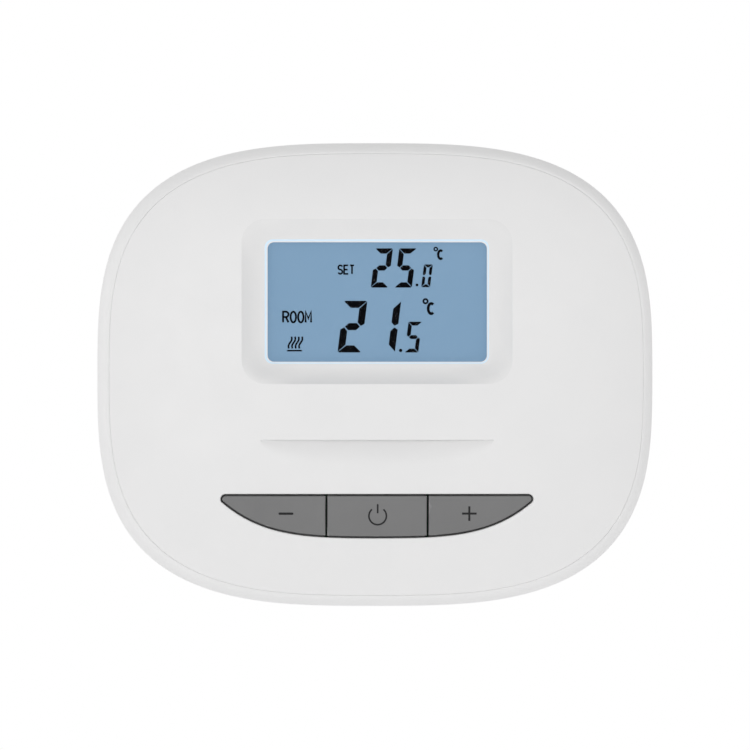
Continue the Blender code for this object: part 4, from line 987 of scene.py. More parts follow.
def make_front_cover():
    skin = Skin()
    around_window = rounded_rectangle(
        WINDOW_HALF_X + WINDOW_CHAMFER, WINDOW_HALF_Z + WINDOW_CHAMFER, WINDOW_RADIUS + 0.3, (0, WINDOW_Z)
    )
    window = rounded_rectangle(
        WINDOW_HALF_X - WINDOW_TRIM,
        WINDOW_HALF_Z - WINDOW_TRIM,
        WINDOW_RADIUS,
        (WINDOW_TRIM, WINDOW_Z - WINDOW_TRIM),
    )
    pocket_margin = LENS_OVERLAP + 0.15
    pocket = rounded_rectangle(
        WINDOW_HALF_X + pocket_margin, WINDOW_HALF_Z + pocket_margin, WINDOW_RADIUS, (0, WINDOW_Z)
    )
    lines = []
    for share in (0.0, 0.012, 0.14, 0.3, 0.46, 0.62, 0.8):
        lines.append(closed(rounded_rectangle(*dish_size(share), (0, WINDOW_Z), 12, 36)))
    across = NOTCH_HALF * np.sin(np.linspace(-np.pi / 2, np.pi / 2, 61))
    lines.append(np.stack([across, np.full_like(across, NOTCH_Z + NOTCH_STEP)], axis=1))
    lines.append(np.stack([across, np.full_like(across, NOTCH_Z)], axis=1))
    for share in (0.3, 0.65, 1.0):
        fall = NOTCH_LENGTH * share * np.sqrt(np.maximum(1 - (across / NOTCH_HALF) ** 2, 0))
        lines.append(np.stack([across[1:-1], NOTCH_Z - fall[1:-1] - 0.001], axis=1))
    edge = case_outline(COVER_INSET + EDGE_ROUND)
    opening = row_outline(KEY_ROUND)
    outer, at_window, at_keys = skin.sheet([edge, around_window, opening], lines, GRID, face)
    front_count = len(skin.faces)
    places = np.array(skin.points)
    middles = np.array([places[list(corners)].mean(axis=0) for corners in skin.faces])
    # The dish's faces take the third finish, painted shade that darkens the recess round the window.
    for number in np.flatnonzero(dish_share(middles[:, 0], middles[:, 2]) > 1e-6):
        skin.marks[number] = 2

    edge_depth = face(edge[:, 0], edge[:, 1])
    outer = skin.rounded(outer, EDGE_ROUND, edge_depth, lambda left: case_outline(COVER_INSET + left))
    for inset, depth in (
        (COVER_INSET, LEDGE_DEPTH + 0.15),
        (SKIRT_INSET, LEDGE_DEPTH + 0.15),
        (SKIRT_INSET, SKIRT_BACK + 0.3),
        (SKIRT_INSET + 0.3, SKIRT_BACK),
        (SKIRT_INSET + SKIRT_WALL, SKIRT_BACK),
    ):
        outer = skin.band(outer, case_outline(inset), depth)

    # The chamfer round the window takes the second finish, a painted glow.
    wall = skin.band(at_window, window, WINDOW_FLOOR - CHAMFER_DEPTH, 1)
    wall = skin.band(wall, window, LENS_FRONT + 0.1)
    wall = skin.band(wall, pocket, LENS_FRONT + 0.1)

    at_keys = skin.rounded(at_keys, KEY_ROUND, face(opening[:, 0], opening[:, 1]), row_outline)

    pads = [
        closed(rounded_rectangle(PAD_HALF_X + grow, PAD_HALF_Z + grow, 0.2, (0, WINDOW_Z)))
        for grow in (-0.02, 0.05)
    ]
    pads += [closed(row_outline(grow)) for grow in (2.0, 2.1)]
    rims = [case_outline(SKIRT_INSET + SKIRT_WALL), pocket, row_outline(0.0)]
    back = skin.sheet(rims, pads, 4.0, inner_face)
    skin.close(outer, back[0])
    skin.close(wall, back[1])
    skin.close(at_keys, back[2])

    def in_wall(place):
        """Depth of the middle of the cover's wall."""
        return float(dome(np.array(place[:1]), np.array(place[1:]))[0]) - COVER_WALL / 2

    for place in POST_PLACES:
        add_post(skin, place, 2.75, 1.3, -board_low.y + 0.3, in_wall(place), -board_low.y + 3.0)
    for place in CASE_SCREW_PLACES:
        add_post(skin, place, 3.3, 1.55, 12.3, in_wall(place), 20.3)
    made = piece("front_cover_shell", skin.points, skin.faces, [SHELL, LIT_EDGE, DISH_PAINTED_SHADE_SHELL], skin.marks)
    shaded_as(made, front_count, face)
    return made


# Rear case.


def slot_cutter(width, length, height):
    """A slot with round ends, lying across the case's wall and centred at the origin."""

    def build(shape):
        outline = []
        radius = width / 2
        for side in (1, -1):
            for i in range(9):
                turn = side * math.pi / 2 + math.pi * (i / 8 - 0.5)
                centre_y = side * (length - width) / 2
                outline.append((radius * math.cos(turn), centre_y + radius * math.sin(turn)))
        add_rings(shape, [[(x, y, z) for x, y in outline] for z in (-height / 2, height / 2)])

    return from_shape("slot", build, [SHELL])


BAY_HALF_X = 26.95
BAY_HALF_Z = 11.1
BAY_Z = (cell_high.z + cell_low.z) / 2 - CELL_OFFSET
BAY_FLOOR = 15.1
BAY_FRONT = 16.3
BAY_WALL = 1.2


def make_rear_case():
    skin = Skin()
    ring = skin.add([(x, -BACK_DEPTH, z) for x, z in case_outline(RECESS_INSET)])
    skin.cap(ring)
    profile = [(RECESS_INSET, RIM_DEPTH + 0.25), (RECESS_INSET - 0.25, RIM_DEPTH)]
    profile.append((RIM_INSET + 0.3, RIM_DEPTH))
    for share in [i / 18 for i in range(18)]:
        depth = RIM_DEPTH + 0.12 + (WIDEST - RIM_DEPTH - 0.12) * share
        profile.append((RIM_INSET * (1 - share) ** 2, depth))
    for i in range(17):
        turn = math.pi / 2 * i / 16
        profile.append((SEAM_INSET * (1 - math.cos(turn)), WIDEST + (SEAM_DEPTH - WIDEST) * math.sin(turn)))
    profile[-1] = (SEAM_INSET - LIP_ROUND * 0.6, SEAM_DEPTH - 0.01)
    profile += [(SEAM_INSET, SEAM_DEPTH - LIP_ROUND), (SEAM_INSET, LEDGE_DEPTH), (CASE_INNER, LEDGE_DEPTH)]
    profile += [(CASE_INNER, WIDEST), (5.125, 9.8), (8.1, BACK_FRONT + 0.4), (8.5, BACK_FRONT)]
    for inset, depth in profile:
        ring = skin.band(ring, case_outline(inset), depth)
    skin.cap(ring)
    case = piece("rear_case_shell", skin.points, skin.faces, [SHELL])

    middle = (BACK_DEPTH + BACK_FRONT) / 2

    def build_bay(shape):
        half_x = BAY_HALF_X + BAY_WALL
        half_z = BAY_HALF_Z + BAY_WALL
        outline = rounded_rectangle(half_x, half_z, 1.0, (0, BAY_Z), 5, 1)
        add_prism(shape, outline, middle, BAY_FRONT)

    def build_bosses(shape):
        for place in CASE_SCREW_PLACES:
            add_turned(shape, place, [(0, middle), (4.0, middle), (4.0, 11.8), (3.8, 12.0), (0, 12.0)])

    def build_ribs(shape):
        for side in (-1, 1):
            x = side * 44.0
            for foot, top in ((23.5, 32.0), (-32.0, -23.5)):
                add_box(shape, (x - 0.5, -11.0, foot), (x + 0.5, -middle, top))

    bosses = from_shape("bosses", build_bosses, [SHELL])
    ribs = from_shape("ribs", build_ribs, [SHELL])
    combined(case, "UNION", from_shape("bay", build_bay, [SHELL]), bosses, ribs)

    def build_openings(shape):
        outline = rounded_rectangle(BAY_HALF_X, BAY_HALF_Z, 0.6, (0, BAY_Z), 4, 1)
        add_prism(shape, outline, BACK_DEPTH - 2, BAY_FLOOR)
        entry = rounded_rectangle(13.2, 8.2, 1.4, (0, ENTRY_Z), 6, 1)
        add_prism(shape, entry, BACK_DEPTH - 2, BACK_FRONT + 2)
        for x in (-HOOK_X, HOOK_X):
            add_box(shape, (x - 4.6, -BACK_FRONT - 2, 34.0), (x + 4.6, -BACK_DEPTH + 2, 38.6))
        add_box(shape, (-5.6, -BACK_FRONT - 2, -40.2), (5.6, -BACK_DEPTH + 2, -37.6))
        for z in (BAY_Z - CELL_OFFSET, BAY_Z + CELL_OFFSET):
            add_box(shape, (-BAY_HALF_X, -BAY_FRONT - 1, z - 1.6), (-26.0, -BAY_FLOOR + 1, z + 1.6))

    def build_bores(shape):
        bore = [(0, BACK_DEPTH - 2), (3.4, BACK_DEPTH - 2), (3.4, BACK_DEPTH), (3.0, BACK_DEPTH + 0.4)]
        bore += [(3.0, 8.0), (1.75, 8.0), (1.75, 14.0), (0, 14.0)]
        for place in CASE_SCREW_PLACES:
            add_turned(shape, place, bore)

    cutters = [from_shape("openings", build_openings, [SHELL]), from_shape("bores", build_bores, [SHELL])]
    for side in (-1, 1):
        source = slot_cutter(VENT_WIDTH, VENT_LENGTH, 10.0)
        start = (-VENT_PITCH * (VENT_COUNT - 1) / 2, -9.5, side * (HALF_Z - 4.5))
        cutters.append(row(f"vents_{side + 2}", source, VENT_COUNT, start, (VENT_PITCH, 0, 0), SHELL))
    return combined(case, "DIFFERENCE", *cutters, sharp=30)


# Wall plate.


def screw_slots(narrow, wide, radius):
    """Outlines of the two screw slots: an upright one on the left and a level one on the right."""
    upright = rounded_rectangle(narrow, wide, radius, (-SLOT_X, 0), 8, 2)
    return [upright, rounded_rectangle(wide, narrow, radius, (SLOT_X, 0), 8, 2)]


def make_wall_plate():
    outline = case_outline(PLATE_INSET)
    skin = Skin()
    entry = rounded_rectangle(12.0, 7.0, 1.4, (0, ENTRY_Z), 6, 4)
    slots = screw_slots(2.0, 4.5, 1.95)
    edge = case_outline(PLATE_INSET + 0.3)
    back = skin.sheet([edge, entry, *slots], [], 6.0, flat_at(0.0))
    front = skin.sheet([edge, entry, *screw_slots(3.2, 5.7, 3.15)], [], 6.0, flat_at(PLATE_THICKNESS))
    ring = skin.band(back[0], outline, 0.3)
    ring = skin.band(ring, outline, PLATE_THICKNESS - 0.3)
    skin.close(ring, front[0])
    skin.close(back[1], front[1])
    for number in (0, 1):
        ring = skin.band(back[2 + number], slots[number], PLATE_THICKNESS - 1.2)
        skin.close(ring, front[2 + number])
    plate = piece("wall_plate_moulding", skin.points, skin.faces, [MOULDING])

    def build_hooks(shape):
        side = [(-1.2, 36.8), (-1.2, 38.3), (-6.0, 38.3), (-6.0, 40.3), (-6.3, 40.6), (-7.2, 40.6)]
        side += [(-7.5, 40.3), (-7.5, 37.2), (-7.1, 36.8)]
        for x in (-HOOK_X, HOOK_X):
            add_profile(shape, side, x, 4.0)

    def build_latch(shape):
        side = [(-1.2, -38.2), (-7.4, -38.2), (-7.4, -39.3), (-6.0, -39.9), (-6.0, -39.6), (-1.2, -39.6)]
        add_profile(shape, side, 0.0, 5.0)

    hooks = from_shape("hooks", build_hooks, [MOULDING])
    combined(plate, "UNION", hooks, from_shape("latch", build_latch, [MOULDING]))

    def build_marks(shape):
        for x in (-38.5, 38.5):
            for z in (-11.0, 11.0):
                add_turned(shape, (x, z), [(0, -1), (1.8, -1), (1.8, 0.15), (0, 0.15)], 32)
        for side in (-1, 1):
            add_box(shape, (side * 39.0 - 0.2, -0.3, -6.0), (side * 39.0 + 0.2, 1, 6.0))

    def build_pockets(shape):
        places = [(-27.0, 19.5, 9.0, 9.0), (27.0, 19.5, 9.0, 9.0)]
        places += [(x, -19.0, 9.5, 9.5) for x in (-22.0, 0.0, 22.0)]
        for x, z, half_x, half_z in places:
            add_prism(shape, rounded_rectangle(half_x, half_z, 2.0, (x, z), 8, 1), -1.0, 0.8)

    def build_groove(shape):
        corners = ((12.2, -1.0), (12.2, 0.6), (13.6, 0.6), (13.6, -1.0))
        rims = [[(x, -depth, z) for x, z in case_outline(inset)] for inset, depth in corners]
        add_rings(shape, rims, capped=False)

    cuts = (("marks", build_marks), ("pockets", build_pockets), ("groove", build_groove))
    cutters = [from_shape(name, build, [MOULDING]) for name, build in cuts]
    return combined(plate, "DIFFERENCE", *cutters, sharp=30)


# Keys, with their printed signs.


def key_spans():
    half = KEY_GAP / 2
    return {
        "minus": (-PAST_ENDS, -KEY_DIVIDER - half),
        "power": (-KEY_DIVIDER + half, KEY_DIVIDER - half),
        "plus": (KEY_DIVIDER + half, PAST_ENDS),
    }


def make_key_cap(name, centre_x):
    low_x, high_x = key_spans()[name]
    skin = Skin()

    def cap_outline(grow):
        return key_outline(low_x - grow - KEY_GAP, high_x + grow + KEY_GAP, grow, 48)

    top = cap_outline(-KEY_GAP - KEY_ROUND)
    ring = skin.sheet([top], [], 0.9, key_face)[0]
    front_count = len(skin.faces)
    depth = key_face(top[:, 0], top[:, 1])
    ring = skin.rounded(ring, KEY_ROUND, depth, lambda left: cap_outline(-KEY_GAP - left))
    ring = skin.band(ring, cap_outline(-KEY_GAP), FLANGE_FRONT)
    flange = key_outline(low_x + 0.3, high_x - 0.3, FLANGE_GROW, 48)
    ring = skin.band(ring, flange, FLANGE_FRONT)
    ring = skin.band(ring, flange, FLANGE_BACK)
    skin.cap(ring)
    rim = skin.add([(x, -(FLANGE_BACK - 0.3), z) for x, z in circle((centre_x, KEY_CENTRE_Z), 2.0, 40)])
    skin.cap(rim)
    skin.cap(skin.band(rim, circle((centre_x, KEY_CENTRE_Z), 2.0, 40), FLANGE_BACK + 0.2))
    made = piece(f"{name}_key_cap", skin.points, skin.faces, [KEY_GREY])
    shaded_as(made, front_count, key_face)
    return made


def bar_outline(start, end, width, steps=6):
    """A straight stroke with round ends."""
    start, end = np.array(start), np.array(end)
    along = (end - start) / np.linalg.norm(end - start)
    turn = math.atan2(along[1], along[0])
    points = []
    for centre, first in ((end, turn - math.pi / 2), (start, turn + math.pi / 2)):
        for i in range(steps + 1):
            angle = first + math.pi * i / steps
            points.append((centre[0] + width / 2 * math.cos(angle), centre[1] + width / 2 * math.sin(angle)))
    return np.array(points)


def stroke_outline(points, width, loop=False):
    """A bent stroke: its left side there, and its right side back. A loop gives two outlines."""
    points = np.array(points, float)
    if loop:
        before, after = np.roll(points, 1, axis=0), np.roll(points, -1, axis=0)
    else:
        before = np.concatenate([points[:1] * 2 - points[1:2], points[:-1]])
        after = np.concatenate([points[1:], points[-1:] * 2 - points[-2:-1]])
    first = points - before
    second = after - points
    first /= np.linalg.norm(first, axis=1, keepdims=True)
    second /= np.linalg.norm(second, axis=1, keepdims=True)
    tangent = first + second
    tangent /= np.linalg.norm(tangent, axis=1, keepdims=True)
    normal = np.stack([-tangent[:, 1], tangent[:, 0]], axis=1)
    across = np.stack([-first[:, 1], first[:, 0]], axis=1)
    miter = 1 / np.maximum(np.abs(np.sum(normal * across, axis=1)), 0.5)
    side = normal * (width / 2 * miter)[:, None]
    if loop:
        return points + side, points - side
    return np.concatenate([points + side, (points - side)[::-1]])


def add_sign(skin, outline, depth, height, sink):
    """A thin printed shape that follows a face."""
    base = depth(outline[:, 0], outline[:, 1])
    low = skin.add([(x, -(y - sink), z) for (x, z), y in zip(outline, base)])
    skin.cap(low)
    skin.cap(skin.band(low, outline, base + height))


def add_open_sign(skin, outer, hole, depth, height, sink):
    """A thin printed ring that follows a face."""
    rings = []
    for outline, lift in ((outer, height), (hole, height), (hole, -sink), (outer, -sink)):
        base = depth(outline[:, 0], outline[:, 1]) + lift
        rings.append(skin.add([(x, -y, z) for (x, z), y in zip(outline, base)]))
    skin.hoop(rings)


def key_strokes(name):
    x, z = {"minus": -19.6, "power": 0.12, "plus": 19.85}[name], KEY_CENTRE_Z + KEY_LIFT
    if name == "power":
        z -= 0.3
        turns = [math.radians(90 + 41 + (360 - 82) * i / 36) for i in range(37)]
        ring = [(x + 1.88 * math.cos(turn), z + 1.88 * math.sin(turn)) for turn in turns]
        return [stroke_outline(ring, 0.36), bar_outline((x, z + 0.72), (x, z + 2.4), 0.36)]
    z += 0.2
    if name == "minus":
        return [bar_outline((x - 1.36, z), (x + 1.36, z), 0.5)]
    arm, half = 1.57, 0.22
    corners = [(arm, half), (half, half), (half, arm), (-half, arm), (-half, half), (-arm, half)]
    corners += [(-px, -pz) for px, pz in corners]
    return [np.array([(x + px, z + pz) for px, pz in corners])]


def make_key_sign(name):
    skin = Skin()
    for outline in key_strokes(name):
        add_sign(skin, outline, key_face, 0.015, 0.03)
    return piece(f"{name}_sign", skin.points, skin.faces, [ICON_INK])


# What the display shows.

SLANT = 0.124
SEGMENTS = {"0": "abcdef", "1": "bc", "2": "abged", "5": "afgcd"}
PANEL_FACE = -panel_low.y


def leaned(points, foot):
    return [(x + SLANT * (z - foot), z) for x, z in points]


def segment_outlines(digit, left, foot, width, height, stroke, gap):
    """The lit bars of a seven segment digit, mitred at the corners, with thin gaps between them."""
    right, top = left + width, foot + height
    middle = (foot + top) / 2
    half = stroke / 2

    def level(z, way):
        """A bar along the top or the foot, with its long edge outside."""
        inner = z - way * stroke
        soft = stroke * 0.12
        return [
            (left + gap, z - way * soft),
            (left + gap + soft, z),
            (right - gap - soft, z),
            (right - gap, z - way * soft),
            (right - stroke - gap, inner),
            (left + stroke + gap, inner),
        ]

    def upright(x, side, end, way):
        """A bar along a side, mitred at the end of the digit and pointed at its middle."""
        inner = x - side * stroke
        return [
            (x, end - way * gap),
            (x, middle + way * (half * 0.6 + gap)),
            (x - side * half, middle + way * gap),
            (inner, middle + way * (half + gap)),
            (inner, end - way * (stroke + gap)),
        ]

    start, end = left + half + gap, right - half - gap
    bar = [(start, middle), (start + half, middle + half), (end - half, middle + half), (end, middle)]
    bar += [(end - half, middle - half), (start + half, middle - half)]
    shapes = {
        "a": level(top, 1),
        "g": bar,
        "d": level(foot, -1),
        "f": upright(left, -1, top, 1),
        "b": upright(right, 1, top, 1),
        "e": upright(left, -1, foot, -1),
        "c": upright(right, 1, foot, -1),
    }
    return [np.array(leaned(shapes[name], foot)) for name in SEGMENTS[digit]]


def arc(centre, radius_x, radius_z, start, end, steps=18):
    turns = [math.radians(start + (end - start) * i / steps) for i in range(steps + 1)]
    return [(centre[0] + radius_x * math.cos(turn), centre[1] + radius_z * math.sin(turn)) for turn in turns]


def letter_strokes(letter, left, foot, width, height):
    """Plain single line capitals, as open lines in a box."""
    right, top, middle = left + width, foot + height, foot + height / 2
    centre = left + width / 2
    quarter = height / 4
    lines = {
        "S": [
            arc((centre, top - quarter), width / 2, quarter, 20, 270)
            + arc((centre, foot + quarter), width / 2, quarter, 90, -160)[1:]
        ],
        "E": [
            [(right, top), (left, top), (left, foot), (right, foot)],
            [(left, middle), (right - width * 0.15, middle)],
        ],
        "T": [[(left, top), (right, top)], [(centre, top), (centre, foot)]],
        "R": [
            [(left, foot), (left, top), (centre, top)]
            + arc((centre, top - quarter), width / 2, quarter, 90, -90, 10)[1:]
            + [(left, middle)],
            [(centre, middle), (right, foot)],
        ],
        "M": [[(left, foot), (left, top), (centre, foot + height * 0.35), (right, top), (right, foot)]],
        "C": [arc((centre, middle), width / 2, height / 2, 50, 310)],
    }
    return lines[letter]


def add_word(word, left, foot, advance, width, height, stroke, show):
    for number, letter in enumerate(word):
        x = left + number * advance
        if letter == "O":
            loop = arc((x + width / 2, foot + height / 2), width / 2, height / 2, 0, 345, 23)
            outer, hole = stroke_outline(loop, stroke, True)
            show(outer, hole)
            continue
        for line in letter_strokes(letter, x, foot, width, height):
            show(stroke_outline(line, stroke))


def make_display_signs():
    skin = Skin()
    panel = flat_at(PANEL_FACE + 0.03)

    def show(outline, hole=None):
        """Adds a shape, or a ring, whose places are from the middle of the window."""
        middle = np.array((0.0, WINDOW_Z))
        if hole is None:
            add_sign(skin, outline + middle, panel, 0.03, 0.0)
        else:
            add_open_sign(skin, outline + middle, hole + middle, panel, 0.03, 0.0)

    for digit, left, foot, width, height, stroke, gap in (
        ("2", -1.27, 3.02, 3.74, 8.44, 1.12, 0.12),
        ("5", 3.84, 3.02, 3.74, 8.44, 1.12, 0.12),
        ("0", 9.6, 3.1, 1.9, 4.9, 0.62, 0.11),
        ("2", -8.43, -10.95, 5.06, 11.12, 1.52, 0.15),
        ("1", -1.14, -10.95, 5.06, 11.12, 1.52, 0.18),
        ("5", 6.04, -10.95, 2.92, 6.62, 0.82, 0.1),
    ):
        for outline in segment_outlines(digit, left, foot, width, height, stroke, gap):
            show(outline)
    for place, radius in (((8.69, 3.58), 0.3), ((5.17, -10.5), 0.36)):
        show(circle(place, radius, 20))
    for place, radius, stroke in (((12.74, 11.3), 0.36, 0.3), ((10.53, 0.08), 0.46, 0.4)):
        show(circle(place, radius + stroke / 2, 24), circle(place, radius - stroke / 2, 24))
    add_word("C", 13.26, 9.2, 1.0, 1.06, 1.8, 0.52, show)
    add_word("C", 11.1, -2.6, 1.2, 1.32, 2.2, 0.6, show)
    add_word("SET", -8.26, 5.96, 1.26, 0.88, 1.84, 0.36, show)
    add_word("ROOM", -20.14, -4.48, 1.62, 1.16, 2.3, 0.42, show)
    for i in range(4):
        x = -18.9 + 0.76 * i
        wave = []
        for j in range(17):
            wave.append((x - 0.2 * math.sin(2 * math.pi * j / 16) + 0.035 * j, -10.1 + 2.55 * j / 16))
        show(stroke_outline(wave, 0.38))
    show(bar_outline((-19.15, -10.56), (-16.2, -10.56), 0.34))
    return piece("display_segments", skin.points, skin.faces, [SEGMENT_INK])


# Display stack and circuit board details.


def make_lens():
    skin = Skin()
    half_x, half_z = lens_high.x, (lens_high.z - lens_low.z) / 2
    back = rounded_rectangle(half_x, half_z, 1.2, (0, WINDOW_Z), 8, 2)
    small = rounded_rectangle(half_x - 0.15, half_z - 0.15, 1.05, (0, WINDOW_Z), 8, 2)
    ring = skin.add([(x, -LENS_BACK, z) for x, z in small])
    skin.cap(ring)
    ring = skin.band(ring, back, LENS_BACK + 0.15)
    ring = skin.band(ring, back, LENS_FRONT - 0.15)
    skin.cap(skin.band(ring, small, LENS_FRONT))
    return piece("display_window", skin.points, skin.faces, [LENS_CLEAR], sharp=30)


def make_chip_leg(width, reach):
    def build(shape):
        side = [(0.0, 0.75), (0.5, 0.75), (0.62, 0.6), (0.62, 0.12), (0.72, 0.0), (reach, 0.0)]
        side += [(reach, -0.12), (0.68, -0.12), (0.5, 0.08), (0.5, 0.58), (0.45, 0.63), (0.0, 0.63)]
        add_rings(shape, [[(out, up, way * width / 2) for out, up in side] for way in (-1, 1)])

    return from_shape("chip_leg", build, [COPPER])


def make_chip():
    low, high = box("microcontroller")
    base = -low.y

    def build(shape):
        chamfer = 0.5
        half_x, half_z = (high.x - low.x) / 2 - 0.9, (high.z - low.z) / 2 - 0.9
        x, z = (low.x + high.x) / 2, (low.z + high.z) / 2
        corners = [(-half_x + chamfer, -half_z), (half_x, -half_z), (half_x, half_z), (-half_x, half_z)]
        corners.append((-half_x, -half_z + chamfer))
        add_prism(shape, [(x + px, z + pz) for px, pz in corners], base - 0.15, -high.y)

    body = rounded_edges(from_shape("chip_body", build, [EPOXY]), 0.15)

    def build_dot(shape):
        depth = -high.y
        profile = [(0, depth - 1), (0.45, depth - 1), (0.45, depth + 0.1), (0, depth + 0.1)]
        add_turned(shape, (low.x + 2.0, low.z + 2.0), profile, 24)

    combined(body, "DIFFERENCE", from_shape("chip_dot", build_dot, [EPOXY]))
    parts = [body]
    middle_x, middle_z = (low.x + high.x) / 2, (low.z + high.z) / 2
    half = (high.x - low.x) / 2
    count, pitch = 11, 0.65
    first = -(count - 1) / 2 * pitch
    for number in range(4):
        turn = number * math.pi / 2
        leg = make_chip_leg(0.26, 1.0)
        leg.data.transform(Matrix.Rotation(turn, 4, "Y"))
        out = Vector((math.cos(turn), 0, -math.sin(turn)))
        along = Vector((math.sin(turn), 0, math.cos(turn)))
        start = Vector((middle_x, -base + 0.13, middle_z)) + out * (half - 1.0) + along * first
        parts.append(row(f"chip_legs_{number}", leg, count, start, along * pitch, COPPER))
    return joined("chip_and_legs", parts)


def make_board_details():
    """Pads, tracks and solder on the two faces of the circuit board."""
    back = -board_high.y
    front = -board_low.y
    parts = []

    def pad(height):
        """A drop of solder; one with a height below zero stands towards the wall."""
        profile = [(0, 0), (0.8, 0), (0.8 * 0.9, height), (0, height * 1.2)]
        return from_shape("pad", lambda shape: add_turned(shape, (0, 0), profile, 14), [COPPER])

    pad_rows = (
        (-5.0, ENTRY_Z, 3, 5.0),
        (18.0, -4.0, 3, 4.5),
        (18.0, 6.0, 2, 13.0),
        (-13.0, 12.0, 2, 2.5),
        (-35.0, 12.0, 2, 4.9),
        (-34.0, -31.0, 6, 2.2),
        (-34.0, 27.0, 8, 3.1),
        (12.0, 27.0, 7, 2.6),
    )
    for number, (x, z, count, pitch) in enumerate(pad_rows):
        for side, y, height in (("front", -front - 0.02, 0.18), ("back", -back + 0.02, -0.12)):
            name = f"pads_{side}_{number}"
            parts.append(row(name, pad(height), count, (x, y, z), (pitch, 0, 0), COPPER))
    solder = joined("board_solder", parts)

    skin = Skin()
    routes = [
        [(-34, 27), (-34, 20), (-27.5, 14.5)],
        [(-30.9, 27), (-30.9, 21), (-26, 16)],
        [(-27.8, 27), (-27.8, 22), (-24, 18.5)],
        [(-24.7, 27), (-24.7, 22), (-22, 19.2)],
        [(-35, 12), (-35, 9), (-31, 7.5), (-26, 7.5)],
        [(-30.1, 12), (-30.1, 14.5), (-28, 14.5)],
        [(-13, 12), (-13, 5), (-6, -2), (14, -2), (18, -4)],
        [(-10.5, 12), (-8, 14.5), (-8, 20), (2, 20), (12, 24), (12, 27)],
        [(18, 6), (12, 12), (5, 12)],
        [(31, 6), (31, 18), (24, 24), (17.2, 24), (17.2, 27)],
        [(-19, 6), (-19, -4), (-30, -15), (-34, -19), (-34, -31)],
        [(-20.3, 6), (-20.3, -4), (-31.8, -15.5), (-31.8, -31)],
        [(14.6, 27), (14.6, 22), (20, 16.6), (20, 11)],
        [(22.5, -4), (22.5, -7), (30, -14.5), (30, -22), (33, -25), (33, -30)],
    ]
    for route in routes:
        outline = stroke_outline(route, 0.55)
        for depth in (front, back - 0.035):
            add_sign(skin, outline, flat_at(depth), 0.035, 0.0)
    tracks = piece("board_tracks", skin.points, skin.faces, [TRACK])
    return solder, tracks


def make_terminal_cage():
    """Wire cages inside the terminal block's entries."""
    low, high = box("terminal_block")

    def build(shape):
        outline = rounded_rectangle(1.25, 0.9, 0.2, (0, 0), 3, 1)
        hole = rounded_rectangle(1.05, 0.7, 0.15, (0, 0), 3, 1)
        corners = ((outline, 0.6), (hole, 0.6), (hole, -0.6), (outline, -0.6))
        add_rings(shape, [[(x, y, z) for x, y in points] for points, z in corners], capped=False)

    cage = from_shape("cage", build, [NICKEL])
    start = (-5.0, high.y - 2.5, high.z - 1.0)
    return row("terminal_cages", cage, 3, start, (5.0, 0, 0), NICKEL)


def make_rubber_stripes():
    """The conducting stripes that stand a little proud of each contact strip's ends."""
    parts = []
    for node in ("upper_contact_strip", "lower_contact_strip"):
        low, high = box(node)

        def build(shape):
            add_box(shape, (-0.12, low.y - 0.02, low.z + 0.2), (0.12, high.y + 0.02, high.z - 0.2))

        stripe = from_shape("stripe", build, [EPOXY])
        count = int((high.x - low.x - 1.0) / 0.5)
        start = (low.x + 0.5, 0, 0)
        parts.append(row(f"{node}_stripes", stripe, count, start, (0.5, 0, 0), EPOXY))
    return joined("contact_stripes", parts)


def make_cell_bands():
    """Printed bands round each cell, at distances from its raised end."""
    made = []
    for number, way in ((1, 1), (2, -1)):
        low, high = box(f"battery_{number}")
        centre_y, centre_z = (low.y + high.y) / 2, (low.z + high.z) / 2
        radius = (high.z - low.z) / 2
        raised_end = low.x if way == 1 else high.x
        skin = Skin()

        def ring_at(along, size):
            x = raised_end + way * along
            turns = 2 * np.pi * np.arange(48) / 48
            return [(x, centre_y + size * math.cos(t), centre_z + size * math.sin(t)) for t in turns]

        for start, end in ((11.5, 12.1), (12.9, 13.3), (40.5, 41.1)):
            proud, under = radius + 0.03, radius - 0.1
            corners = ((start, proud), (end, proud), (end, under), (start, under))
            skin.hoop([skin.add(ring_at(along, size)) for along, size in corners])
        made.append(piece(f"cell_bands_{number}", skin.points, skin.faces, [NICKEL]))
    return made


# The pieces, each on its body.


def add_piece(made, body, slot, *nodes):
    if nodes:
        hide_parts(*nodes)
    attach(made, body)
    return made


add_piece(make_front_cover(), "case", "white_shell", "front_cover")
add_piece(make_rear_case(), "case", "white_shell", "rear_case")
add_piece(make_wall_plate(), "wall_mount", "white_moulding", "wall_plate")
for key_name, key_x in (("minus", -KEY_CENTRE_X), ("power", 0.0), ("plus", KEY_CENTRE_X)):
    add_piece(make_key_cap(key_name, key_x), f"{key_name}_key", "grey_key", f"{key_name}_button")
    add_piece(make_key_sign(key_name), f"{key_name}_key", "grey_key")
add_piece(make_lens(), "case", "clear_window", "display_lens")
add_piece(make_display_signs(), "case", "display_glass")
add_piece(make_chip(), "case", "black_epoxy", "microcontroller")
solder_piece, track_piece = make_board_details()
add_piece(solder_piece, "case", "nickel_plate")
add_piece(track_piece, "case", "board_green")
add_piece(make_terminal_cage(), "case", "nickel_plate")
add_piece(make_rubber_stripes(), "case", "contact_rubber")
for cell_bands in make_cell_bands():
    add_piece(cell_bands, "case", "nickel_plate")

